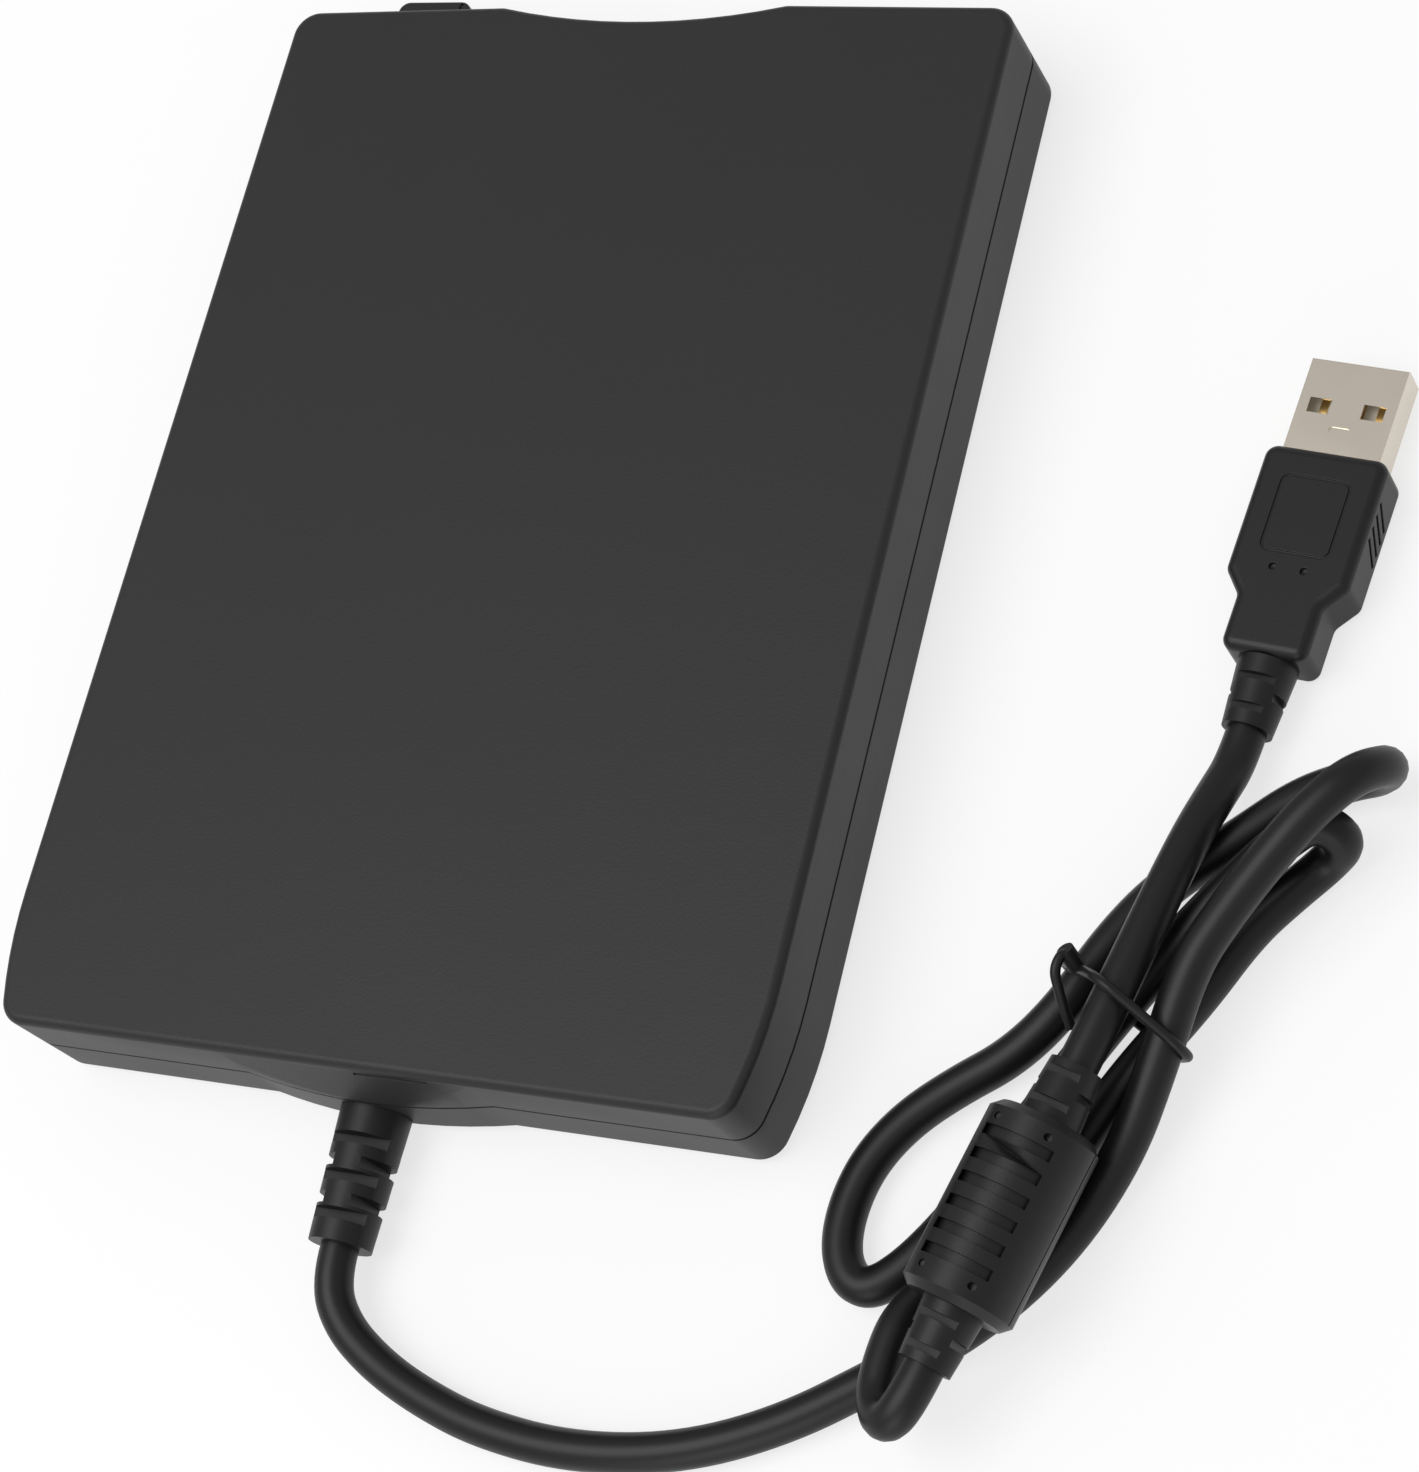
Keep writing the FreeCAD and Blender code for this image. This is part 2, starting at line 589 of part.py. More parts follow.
def eject_button():
    body = new_body("ButtonBody")
    left, right = S["button_left"], S["button_left"] + S["button_width"]
    nose = FRONT - S["button_out"]
    tail = BEZEL_BACK + 0.4
    plan = sketch(body, "ButtonPlan", "XY_Plane", [(left, nose), (right, nose), (right, tail), (left, tail)],
                  S["button_low"])
    block = pad(body, plan, S["button_high"] - S["button_low"])

    def nose_corner(edge):
        return upright(edge) and abs(edge.BoundBox.YMin - float(nose)) < 0.01

    rounded = round_edges(body, block, nose_corner, S["button_round"], "NoseRound")
    round_edges(body, rounded, level_at(S["button_high"]), 0.4, "TopRound")
    lip = box("GripRidge", (left + 1.4, right - 1.4), (nose + 0.5, nose + 2.1),
              (S["button_high"] - 0.2, S["button_high"] + 0.35))
    stem = box("ButtonStem", (left + 2, right - 2), (tail, -S["rail_front"] - 0.6),
               (S["rail_low"] - 0.8, S["rail_low"] + S["rail_sheet"]))
    node("eject_button", join("EjectButton", [body, lip, stem]))


# Mechanism frame

def chassis():
    front, rear = -S["frame_front"] + S["bezel_thick"], S["frame_rear"]
    base = box("BasePlate", (-FRAME_HALF, FRAME_HALF), (front, rear), (S["frame_low"], BASE_TOP))
    adds = [base]
    for sign in (-1, 1):
        inner = FRAME_HALF - S["side_thick"]
        span = (inner, FRAME_HALF) if sign > 0 else (-FRAME_HALF, -inner)
        adds.append(box("SideWall", span, (front, rear), (S["frame_low"], S["frame_high"])))
    adds.append(box("ScrewBearing", (S["screw_x"] - 3, S["screw_x"] + 3),
                    (S["screw_front"], S["screw_front"] + 1.2), (BASE_TOP, S["screw_z"] + 2.4)))
    adds.append(box("MotorBracket", (S["screw_x"] - 6, S["screw_x"] + 6),
                    (S["motor_front"] - 1.0, S["motor_front"]), (BASE_TOP, S["screw_z"] + 4.0)))
    for y in (S["head_y"] - S["carriage_travel"] - 1.2, S["motor_front"] - 1.0):
        adds.append(box("RodSupport", (-S["rod_x"] - 2.2, -S["rod_x"] + 2.2), (y - 1.2, y),
                        (BASE_TOP, S["rod_z"] + 1.6)))
    tools = [rod("BearingBore", (S["screw_x"], S["screw_front"] - 1, S["screw_z"]),
                 S["screw_radius"] * 0.6 + S["run_fit"], 3.2, "y"),
             rod("MotorBore", (S["screw_x"], S["motor_front"] - 2, S["screw_z"]),
                 S["screw_radius"] + S["run_fit"], 3.0, "y"),
             rod("RodBore", (-S["rod_x"], 4.0, S["rod_z"]), S["rod_radius"], S["motor_front"], "y"),
             box("BaseWindow", (18.0, 38.0), (2.0, 24.0), (S["frame_low"] - 1, BASE_TOP + 1)),
             box("RearWindow", (-4.0, 6.0), (53.0, S["frame_rear"] + 1), (S["frame_low"] - 1, BASE_TOP + 1))]
    for y in (-S["pin_front"], S["pin_rear"]):
        tools.append(box("PinGuide", (-FRAME_HALF - 1, FRAME_HALF + 1),
                         (y - S["guide_pin"] - S["run_fit"], y + S["guide_pin"] + S["run_fit"]),
                         (S["pin_height"] - S["guide_pin"] - 0.2,
                          S["pin_height"] + S["drop"] + S["guide_pin"] + 0.2)))
    node("chassis", carve("Chassis", join("ChassisJoined", adds), tools))
    lid = box("LidPlate", (-FRAME_HALF, FRAME_HALF), (-S["lid_front"], S["frame_rear"]),
              (S["frame_high"], S["frame_high"] + S["lid_thick"]))
    holes = [box("LidWindow", (-12.0, 12.0), (-40.0, -20.0), (S["frame_high"] - 1, S["frame_high"] + 2))]
    for sign in (-1, 1):
        x, y = sign * S["lid_screw_x"], S["lid_screw_y"]
        holes.append(rod("LidHole", (x, y, S["frame_high"] - 1), 1.0, 3.0))
    node("mechanism_lid", carve("MechanismLid", lid, holes))
    screws = []
    for sign in (-1, 1):
        x, y = sign * S["lid_screw_x"], S["lid_screw_y"]
        screws.append(join("LidScrew", [
            rod("LidScrewHead", (x, y, S["frame_high"] + S["lid_thick"]), 1.9, 0.35),
            rod("LidScrewShank", (x, y, S["frame_high"] - 2.6), 1.0, 2.6 + S["lid_thick"]),
            rod("LidStandoff", (x, y, BASE_TOP), 1.8, S["frame_high"] - BASE_TOP)]))
    node("lid_screws", group("LidScrews", screws))


def spindle():
    y = -S["spindle_y"]
    board = box("MotorBoard", (-24.0, 24.0), (y - 21, y + 20), (BASE_TOP, BASE_TOP + S["board_thick"]))
    node("spindle_board", carve("SpindleBoard", board, [
        rod("BoardHole", (0.0, y, BASE_TOP - 1), S["shaft_radius"] + 2.2, 3.0)]))
    bearing = rod("BearingTube", (0.0, y, BASE_TOP), S["shaft_radius"] + 1.6, 1.1)
    node("spindle_bearing", carve("SpindleBearing", bearing, [
        rod("BearingHole", (0.0, y, BASE_TOP - 1), S["shaft_radius"] + S["run_fit"], 4.0)]))
    cup = [rod("RotorPlate", (0.0, y, S["rotor_high"] - 0.6), S["rotor_radius"], 0.6),
           carve("RotorRim", rod("RimOuter", (0.0, y, S["rotor_low"]), S["rotor_radius"],
                                 S["rotor_high"] - S["rotor_low"]),
                 [rod("RimInner", (0.0, y, S["rotor_low"] - 1), S["rotor_radius"] - 0.8, 4.0)])]
    cup.append(rod("ShaftLow", (0.0, y, BASE_TOP + 0.05), S["shaft_radius"],
                   S["rotor_high"] - BASE_TOP - 0.05))
    holes = []
    for turn in range(3):
        angle = math.radians(120 * turn + 30)
        across, ahead = 14.5 * math.cos(angle), 14.5 * math.sin(angle)
        holes.append(rod("RotorHole", (across, y + ahead, S["rotor_high"] - 2),
                         1.6, 4.0))
    node("spindle_rotor", carve("SpindleRotor", join("RotorJoined", cup), holes))
    chuck = rod("ChuckDisk", (0.0, y, S["rotor_high"]), S["chuck_radius"], S["chuck_high"] - S["rotor_high"])
    tip = cone("ShaftTip", (0.0, y, S["chuck_high"]), S["shaft_radius"], S["shaft_radius"] - 0.4,
               S["shaft_high"] - S["chuck_high"])
    pin = box("DrivePin", (8.6, 10.2), (y - 2.2, y + 2.2), (S["chuck_high"], S["chuck_high"] + 0.6))
    node("disk_chuck", join("DiskChuck", [chuck, tip, pin]))
    ring = rod("MagnetOuter", (0.0, y, S["rotor_low"]), S["rotor_radius"] - 0.8, 0.9)
    node("rotor_magnet", carve("RotorMagnet", ring, [
        rod("MagnetInner", (0.0, y, S["rotor_low"] - 1), S["rotor_radius"] - 2.4, 4.0)]))
    coils = []
    for turn in range(9):
        angle = math.radians(40 * turn)
        coils.append(rod("Coil", (11.6 * math.cos(angle), y + 11.6 * math.sin(angle),
                                  BASE_TOP + S["board_thick"]), 2.6, 0.35))
    node("stator_coils", group("StatorCoils", coils))


def head_unit():
    front = S["head_y"] - 3
    back = S["tower_front"] + S["tower_deep"]
    low, high = S["carriage_low"], S["carriage_high"]
    bed = box("CarriageBed", (-S["carriage_half"], S["carriage_half"]), (front, back), (low, high))
    tower = box("CarriageTower", (-S["tower_half"], S["tower_half"]), (S["tower_front"], back),
                (high - 0.2, S["pivot_z"] + 1.2))
    ear = box("RodEar", (-S["rod_x"] - 2.6, -S["carriage_half"] + 0.2), (front + 4, back - 2),
              (low, S["rod_z"] + 2.1))
    arm = box("FollowerArm", (S["tower_half"] - 0.2, S["screw_x"] + 2.6), (S["tower_front"] + 2, back - 1),
              (S["screw_z"] - 2.2, S["screw_z"] + 2.2))
    pivot_y = S["tower_front"] + S["tower_deep"] / 2
    tools = [rod("EarBore", (-S["rod_x"], front - 1, S["rod_z"]), S["rod_radius"] + S["run_fit"],
                 back - front + 2, "y"),
             rod("FollowerBore", (S["screw_x"], S["tower_front"] - 1, S["screw_z"]),
                 S["screw_radius"] + S["run_fit"], S["tower_deep"] + 2, "y"),
             box("ArmFork", (-4.2, 4.2), (S["tower_front"] - 1, back + 1), (S["pivot_z"] - 2.0, 20.0)),
             rod("PivotBore", (-S["tower_half"] - 1, pivot_y, S["pivot_z"]), S["pivot_radius"],
                 S["tower_half"] * 2 + 2, "x")]
    node("head_carriage", carve("HeadCarriage", join("CarriageJoined", [bed, tower, ear, arm]), tools))
    node("arm_pivot_pin", rod("ArmPin", (-S["tower_half"], pivot_y, S["pivot_z"]), S["pivot_radius"],
                              S["tower_half"] * 2, "x"))
    y = S["head_y"]
    node("lower_head", join("LowerHead", [
        box("LowerMount", (-3.2, 3.2), (y - 2.6, y + 2.6), (high, S["head_top"] - 0.9)),
        rod("LowerFace", (0.0, y, S["head_top"] - 0.9), 2.4, 0.9)]))
    plate = box("ArmPlate", (-3.6, 3.6), (y - 3, pivot_y + 1.8),
                (S["arm_low"], S["arm_low"] + S["arm_thick"]))
    boss = box("ArmBoss", (-4.0, 4.0), (pivot_y - 1.5, pivot_y + 1.5),
               (S["pivot_z"] - 1.5, S["pivot_z"] + 1.5))
    bore = rod("ArmBore", (-5.0, pivot_y, S["pivot_z"]), S["pivot_radius"] + S["run_fit"], 10.0, "x")
    node("upper_head_arm", carve("UpperHeadArm", join("ArmJoined", [plate, boss]), [bore]))
    face = S["head_top"] + S["head_gap"]
    node("upper_head", join("UpperHead", [
        rod("UpperFace", (0.0, y, face), 2.2, 0.9),
        box("UpperMount", (-2.6, 2.6), (y - 2.4, y + 2.4), (face + 0.7, S["arm_low"]))]))
    node("guide_rod", rod("GuideRod", (-S["rod_x"], 4.8, S["rod_z"]), S["rod_radius"],
                          S["motor_front"] - 5.8, "y"))
    length = S["motor_front"] - S["screw_front"] - 1.4
    screw = [rod("ScrewShaft", (S["screw_x"], S["screw_front"] + 1.4, S["screw_z"]), S["screw_radius"],
                 length + 0.2, "y"),
             rod("ScrewTip", (S["screw_x"], S["screw_front"] + 0.2, S["screw_z"]), S["screw_radius"] * 0.6,
                 1.4, "y")]
    node("lead_screw", join("LeadScrew", screw))
    can = rod("StepperCan", (S["screw_x"], S["motor_front"], S["screw_z"]), S["motor_radius"],
              S["motor_length"], "y")
    node("stepper_motor", carve("StepperMotor", can, [
        rod("StepperMouth", (S["screw_x"], S["motor_front"] - 1, S["screw_z"]), S["screw_radius"] + 0.4,
            1.5, "y")]))


# Disk holder and eject slide

def disk_holder():
    half = S["disk_width"] / 2 + S["holder_play"]
    sheet = S["holder_sheet"]
    low, high = S["holder_floor"], S["holder_floor"] + S["holder_inner"]
    front, rear = -S["holder_front"], S["disk_rear"] + 0.3
    outer = box("HolderOuter", (-half - sheet, half + sheet), (front, rear), (low - sheet, high + sheet))
    tools = [box("HolderInside", (-half, half), (front - 1, rear + 1), (low, high)),
             box("HolderOpen", (S["holder_lip"] - half, half - S["holder_lip"]), (front - 1, rear + 1),
                 (low - sheet - 1, low + 1)),
             box("HeadWindow", (-9.0, 9.0), (2.0, rear + 1), (high - 1, high + sheet + 1)),
             rod("PlungerNotch", (-S["sensor_x"], S["sensor_y"], low - sheet - 1),
                 S["plunger_radius"] + S["gap"],
                 sheet + 2),
             box("HubWindow", (-10.0, 10.0), (-S["spindle_y"] - 12, -S["spindle_y"] + 12),
                 (high - 1, high + sheet + 1))]
    shell = carve("HolderShell", outer, tools)
    node("disk_holder", shell)
    pins = []
    reach = FRAME_HALF - half - sheet
    for y in (-S["pin_front"], S["pin_rear"]):
        for sign in (-1, 1):
            start = half + sheet if sign > 0 else -FRAME_HALF
            pins.append(rod("GuidePin", (start, y, S["pin_height"]), S["guide_pin"], reach, "x"))
    node("holder_pins", group("HolderPins", pins))


def slide_plate():
    """Two slotted rails joined over the holder, with a foot that the button pushes."""
    outer = FRAME_HALF - S["side_thick"] - 0.2
    inner = outer - S["rail_sheet"]
    front, rear = -S["rail_front"], S["rail_rear"]
    play = S["guide_pin"] + S["gap"] / 2
    climb = math.atan2(float(S["drop"]), float(S["stroke"]))
    along, rise = play * math.cos(climb), play * math.sin(climb)
    parts = []
    for sign in (-1, 1):
        body = new_body("RailBody")
        start = inner if sign > 0 else -outer
        outline = sketch(body, "RailOutline", "YZ_Plane",
                         [(front, S["rail_low"]), (rear, S["rail_low"]), (rear, S["rail_high"]),
                          (front, S["rail_high"])], start)
        pad(body, outline, S["rail_sheet"])
        for y in (-S["pin_front"], S["pin_rear"]):
            far_y, far_z = y - S["stroke"], S["pin_height"] + S["drop"]
            slant = [(y + along - rise, S["pin_height"] - rise - along),
                     (far_y - along - rise, far_z + rise - along),
                     (far_y - along + rise, far_z + rise + along),
                     (y + along + rise, S["pin_height"] - rise + along)]
            opening = sketch(body, "RailSlot", "YZ_Plane", slant, start + S["rail_sheet"])
            pocket(body, opening, S["rail_sheet"])
        parts.append(body)
    parts.append(box("SlideBridge", (-inner, inner), (-S["bridge_front"], -S["bridge_rear"]),
                     (S["rail_high"] - S["rail_sheet"], S["rail_high"])))
    foot_left = S["button_left"]
    parts.append(box("SlideFoot", (foot_left, inner), (front - 0.6, front + 3.0),
                     (S["rail_low"], S["rail_low"] + S["rail_sheet"])))
    blank = join("SlideJoined", parts)
    window = box("SlideWindow", (-30.0, 30.0), (-44.0, -28.0), (S["rail_high"] - 2, S["rail_high"] + 1))
    node("slide_plate", carve("SlidePlate", blank, [window]))


def shutter_lever():
    x, y, z = -S["lever_x"], S["lever_y"], S["lever_z"]
    blade = box("LeverBlade", (x, x + S["lever_length"]), (y - 1.6, y + 1.6), (z, z + 0.8))
    hub = rod("LeverHub", (x, y, z), 2.6, 0.8)
    tip = rod("LeverTip", (x + S["lever_length"] - 1.6, y, z - 1.2), 1.0, 1.4)
    bore = rod("LeverBore", (x, y, z - 1), 1.1 + S["run_fit"], 4.0)
    node("shutter_lever", carve("ShutterLever", join("LeverJoined", [blade, hub, tip]), [bore]))
    node("lever_post", join("LeverPost", [rod("PostShank", (x, y, BASE_TOP), 1.1, z + 1.0 - BASE_TOP),
                                          rod("PostShoulder", (x, y, BASE_TOP), 2.2, z - 0.1 - BASE_TOP),
                                          rod("PostCap", (x, y, z + 1.0), 1.8, 0.4)]))


def sensors():
    for index, name in enumerate(("disk_present_plunger", "density_plunger", "write_protect_plunger")):
        x = -S["sensor_x"] + S["sensor_step"] * index
        node(name, rod("Plunger", (x, S["sensor_y"], BASE_TOP + 1.3), S["plunger_radius"],
                       S["plunger_top"] - BASE_TOP - 1.3))
    low_x = -S["sensor_x"] - 2.2
    high_x = -S["sensor_x"] + S["sensor_step"] * 2 + 2.2
    block = box("SwitchBlock", (low_x, high_x), (S["sensor_y"] - 2.4, S["sensor_y"] + 2.4),
                (BASE_TOP, S["holder_floor"] - S["holder_sheet"] - 0.2))
    bores = [rod("PlungerBore", (-S["sensor_x"] + S["sensor_step"] * index, S["sensor_y"], BASE_TOP + 0.2),
                 S["plunger_radius"] + S["run_fit"], 9.0) for index in range(3)]
    node("sensor_switches", carve("SensorSwitches", block, bores))


# Electronics

def electronics():
    z = BASE_TOP + 0.6
    drive = (-46.0, -17.0), (38.0, 57.0)
    posts = [rod("DrivePost", (x, y, BASE_TOP), 1.6, 0.6) for x in (-43.0, -20.0) for y in (41.0, 54.0)]
    node("drive_board", join("DriveBoard", [
        box("DriveBoardPlate", drive[0], drive[1], (z, z + S["board_thick"]))] + posts))
    top = z + S["board_thick"]
    node("controller_chip", box("ControllerChip", (-38.0, -28.0), (41.0, 51.0), (top, top + 1.4)))
    bridge_y = (61.4, 69.4)
    bridge_low = INNER_FLOOR + 1.6
    ribs = [box("BridgeRib", (x, x + 1.6), bridge_y, (INNER_FLOOR, bridge_low)) for x in (-41.0, -13.0)]
    node("bridge_board", join("BridgeBoard", [
        box("BridgePlate", (-42.0, -8.0), bridge_y, (bridge_low, bridge_low + S["board_thick"]))] + ribs))
    deck = bridge_low + S["board_thick"]
    node("bridge_chip", box("BridgeChip", (-34.0, -27.4), (62.4, 69.0), (deck, deck + 1.2)))
    node("crystal_can", rod("CrystalCan", (-20.5, 65.4, deck), 1.8, 2.6))
    node("capacitors", group("Capacitors", [rod("Capacitor", (x, 65.4, deck), 1.7, 3.4)
                                            for x in (-40.2, -36.2)]))
    node("cable_header", box("CableHeader", (-14.0, -9.0), (63.4, 67.4), (deck, deck + 2.4)))
    ribbon_low = deck + 1.0
    node("ribbon_sockets", group("RibbonSockets", [
        box("BridgeSocket", (-27.0, -18.5), (61.7, 63.3), (deck, ribbon_low)),
        box("DriveSocket", (-27.0, -18.5), (52.6, 56.0), (top, ribbon_low))]))
    node("ribbon_cable", box("RibbonCable", (-26.4, -19.1), (53.4, 63.0), (ribbon_low, ribbon_low + 0.2)))


# Cable end at the case

def boot_slots(start, radius, core, rings, wide):
    """Slots that leave a core, cut in turn from above and below and from the two sides."""
    x, y, z = start
    reach = radius + 1
    cutters = []
    for index, ring in enumerate(rings):
        span = (y + ring, y + ring + wide)
        for near, far in ((core, reach), (-reach, -core)):
            if index % 2 == 0:
                cutters.append(box("BootSlot", (x - reach, x + reach), span, (z + near, z + far)))
            else:
                cutters.append(box("BootSlot", (x + near, x + far), span, (z - reach, z + reach)))
    return cutters


def cable_boot():
    """Ribbed strain relief where the cable leaves the case."""
    y = REAR + S["boss_depth"]
    x, z = S["boot_x"], S["boot_z"]
    adds = [cone("BootCone", (x, y, z), S["boot_radius"], S["boot_end"], S["boot_length"], "y"),
            rod("BootNeck", (x, REAR - S["wall"] - 0.8, z), S["neck_radius"],
                S["wall"] + S["boss_depth"] + 0.9, "y")]
    slots = boot_slots((x, y, z), S["boot_radius"], S["boot_end"] - 2.1, (3.4, 6.2, 8.0, 10.8, 12.6), 1.4)
    node("cable_boot", carve("CableBoot", join("BootJoined", adds), slots))


# Cable, its ferrite housing and its plug

LONG_CABLE = [
    (1.9, 90.2, 4.7), (1.9, 94.6, 4.7), (-0.8, 99.2, 3.8), (-6.1, 102.8, 2.9), (-12.6, 105.5, 2.6),
    (-21, 107.8, 2.4), (-33, 108.7, 2.4), (-46.1, 106.7, 2.4), (-57.9, 101.6, 2.4), (-68.2, 94.3, 2.4),
    (-77.6, 87.3, 2.5), (-85.6, 77.6, 2.7), (-91.1, 66.6, 4.3), (-93.9, 56.7, 7.6), (-96.1, 45.9, 10.4),
    (-99.5, 39.6, 11.8), (-103.1, 34, 13.1), (-107.3, 28.1, 14.5), (-111.3, 23.5, 14.5),
    (-113.7, 20.1, 9.7), (-111.7, 19.3, 4.1), (-107.4, 19.8, 2.6), (-102, 22.4, 2.5),
    (-96.3, 27.8, 2.6), (-88.5, 34.5, 2.6), (-84.1, 41.9, 3.6), (-80.4, 50.3, 3.8), (-75.3, 56.3, 2.6),
    (-69.3, 60.6, 2.4), (-63.3, 65, 2.4), (-58.6, 70.8, 2.4), (-56.3, 76.6, 2.4), (-56.6, 81.6, 2.4),
    (-59.6, 85.2, 2.4), (-64.2, 85.6, 2.4), (-67.9, 82.5, 2.4), (-71.4, 77.6, 2.4), (-75, 71.3, 2.4),
    (-79.2, 63.6, 2.5), (-84.1, 54.6, 3.6), (-89.4, 45.7, 4), (-94.2, 38.7, 5), (-99.3, 32.3, 5.8),
    (-104.6, 27.8, 8), (-109.4, 25.2, 9.2), (-113, 26, 6.1), (-112.2, 28.9, 2.4), (-107.6, 33, 2.4),
    (-101.2, 40.1, 2.7), (-95.5, 47.8, 3.9), (-89.8, 56.6, 3.6), (-84.5, 66.3, 2.5), (-79.4, 76.5, 2.5),
    (-73.3, 83.7, 4.1), (-69.6, 88.6, 7), (-68.4, 93.5, 7.8), (-68.3, 98.2, 8.1), (-71.7, 100.6, 10.4),
    (-75.4, 98.5, 11.8), (-76.58, 94.22, 11.8)]
SHORT_CABLE = [(-86.42, 59.28, 11.8), (-87.75, 54.55, 11.8), (-88.8, 49.0, 11.4), (-90.4, 40.4, 10.0),
               (-92.0, 32.0, 8.6), (-93.0, 27.2, 7.3), (-93.9, 22.8, 4.9), (-94.4, 19.4, 3.85),
               (-94.9, 15.4, 3.85)]
TIE_TAIL = [(-83.4, 47.4, 10.4), (-82.4, 46.2, 12.6), (-81.6, 48.6, 12.6), (-82.6, 51.6, 10.6),
            (-83.6, 54.0, 8.6)]
TIE_ORIGIN = FreeCAD.Vector(-82.6, 46.9, 0)
TIE_ACROSS = FreeCAD.Vector(-math.cos(math.radians(30)), math.sin(math.radians(30)), 0)
TIE_STRANDS = [(-0.65, 3.74), (6.8, 11.5), (13.72, 8.35), (11.33, 3.74)]
FERRITE_SPOT = (-81.5, 76.75, 11.8)
FERRITE_TURN = -15.74
PLUG_SPOT = (-94.9, 15.4, 3.85)
PLUG_TURN = 173.3


def tube_edges(route):
    """Straight runs joined by tangent arcs, and the bend radii."""
    edges, bends = [], []
    start = route[0]
    for before, here, after in zip(route, route[1:], route[2:]):
        back, ahead = before - here, after - here
        reach = 0.45 * min(back.Length, ahead.Length)
        half_turn = (math.pi - back.getAngle(ahead)) / 2
        back.normalize()
        ahead.normalize()
        radius = reach / math.tan(half_turn)
        middle = back + ahead
        middle.normalize()
        leave, meet = here + back * reach, here + ahead * reach
        crown = here + middle * (radius / math.cos(half_turn) - radius)
        edges += [Part.LineSegment(start, leave).toShape(), Part.Arc(leave, crown, meet).toShape()]
        bends.append(radius)
        start = meet
    edges.append(Part.LineSegment(start, route[-1]).toShape())
    return edges, bends


def round_tube(edges, radius):
    """A round solid swept along the edges."""
    wire = Part.Wire(edges)
    first = edges[0]
    profile = Part.Circle(first.valueAt(first.FirstParameter), first.tangentAt(first.FirstParameter), radius)
    tube = wire.makePipeShell([Part.Wire([profile.toShape()])], True, False)
    if tube.Volume < 0:
        tube.reverse()
    return tube, wire


def placed_shape(name, shape):
    """A computed shape kept as a feature and moved to the part's frame."""
    thing = DOC.addObject("Part::Feature", name)
    thing.Shape = shape
    return thing


def cable_tube(label, name, points, radius):
    """One cable run, with its length, its tightest bend and how well its volume fits its length."""
    edges, bends = tube_edges([FreeCAD.Vector(*point) for point in points])
    tube, wire = round_tube(edges, float(size(radius)))
    ideal = math.pi * float(size(radius)) ** 2 * wire.Length
    print("%s: length %.1f, tightest bend %.2f, volume %.4f of its section times its length" % (
        label, wire.Length, min(bends), tube.Volume / ideal))
    node(label, placed_shape(name, tube))
    return wire


def own_gap(wire, radius, skip):
    """Smallest space between parts of one run that are at least skip apart along it."""
    spots = wire.discretize(Distance=1.2)
    count = len(spots)
    apart = int(skip / 1.2)
    nearest = min(spots[first].distanceToPoint(spots[second])
                  for first in range(count) for second in range(first + apart, count))
    return nearest - 2 * radius


def cables():
    radius = float(S["cable_radius"])
    long_wire = cable_tube("cable_long", "CableLong", LONG_CABLE, radius)
    short_wire = cable_tube("cable_short", "CableShort", SHORT_CABLE, radius)
    print("cable_long gap to itself %.2f, to cable_short %.2f" % (
        own_gap(long_wire, radius, 15.0), long_wire.distToShape(short_wire)[0] - 2 * radius))


def ferrite():
    """Split housing round the ferrite core, with a ribbed boot at both ends."""
    radius, half = S["ferrite_radius"], S["ferrite_length"] / 2
    rim = 1.0
    adds = [rod("HousingMiddle", (0.0, rim - half, 0.0), radius, S["ferrite_length"] - rim * 2, "y"),
            cone("HousingStart", (0.0, -half, 0.0), radius - rim, radius, rim, "y"),
            cone("HousingEnd", (0.0, half - rim, 0.0), radius, radius - rim, rim, "y")]
    slot_half, slot_depth = 4.3, 0.6
    tools = []
    for index in range(6):
        middle = 3.9 + 2.85 * index - half
        block = box("CrossSlot", (-slot_half, slot_half), (middle - 0.65, middle + 0.65), (0.0, radius + 1))
        keep = rod("CrossSlotFloor", (0.0, middle - 1.0, 0.0), radius - slot_depth, 2.0, "y")
        tools.append(carve("CrossSlotCut", block, [keep]))
    for sign in (-1, 1):
        for place in (2.2, 20.0):
            tools.append(rod("Dimple", (sign * 3.2, place - half, radius - 1.4), 0.45, 3.0))
    for sign in (-1, 1):
        edge = sign * radius
        tools.append(box("HousingSeam", (edge - 0.15, edge + 0.15), (-half, half), (-0.12, 0.12)))
    housing = carve("FerriteHousing", join("HousingJoined", adds), tools)
    turned_node("ferrite_housing", housing, FERRITE_SPOT, FERRITE_TURN)
    boots = []
    length = S["small_boot_length"]
    tip = S["small_boot"] - 0.5
    for sign in (-1, 1):
        if sign > 0:
            blank = cone("HousingBoot", (0.0, half, 0.0), S["small_boot"], tip, length, "y")
            start, rings = half, (1.3, 3.1, 4.9)
        else:
            blank = cone("HousingBoot", (0.0, -half - length, 0.0), tip, S["small_boot"], length, "y")
            start, rings = -half - length, (1.0, 2.8, 4.6)
        slots = boot_slots((0.0, start, 0.0), S["small_boot"], 2.5, rings, 0.9)
        boots.append(carve("RibbedBoot", blank, slots))
    turned_node("ferrite_boots", group("FerriteBoots", boots), FERRITE_SPOT, FERRITE_TURN)


def rounded_bar(name, x, y, z, radius):
    """A block with its four upright edges rounded."""
    parts = [box(name, (x[0] + radius, x[1] - radius), y, z), box(name, x, (y[0] + radius, y[1] - radius), z)]
    for corner_x in (x[0] + radius, x[1] - radius):
        for corner_y in (y[0] + radius, y[1] - radius):
            parts.append(rod(name, (corner_x, corner_y, z[0]), radius, size(z[1]) - z[0]))
    return join(name + "Bar", parts)


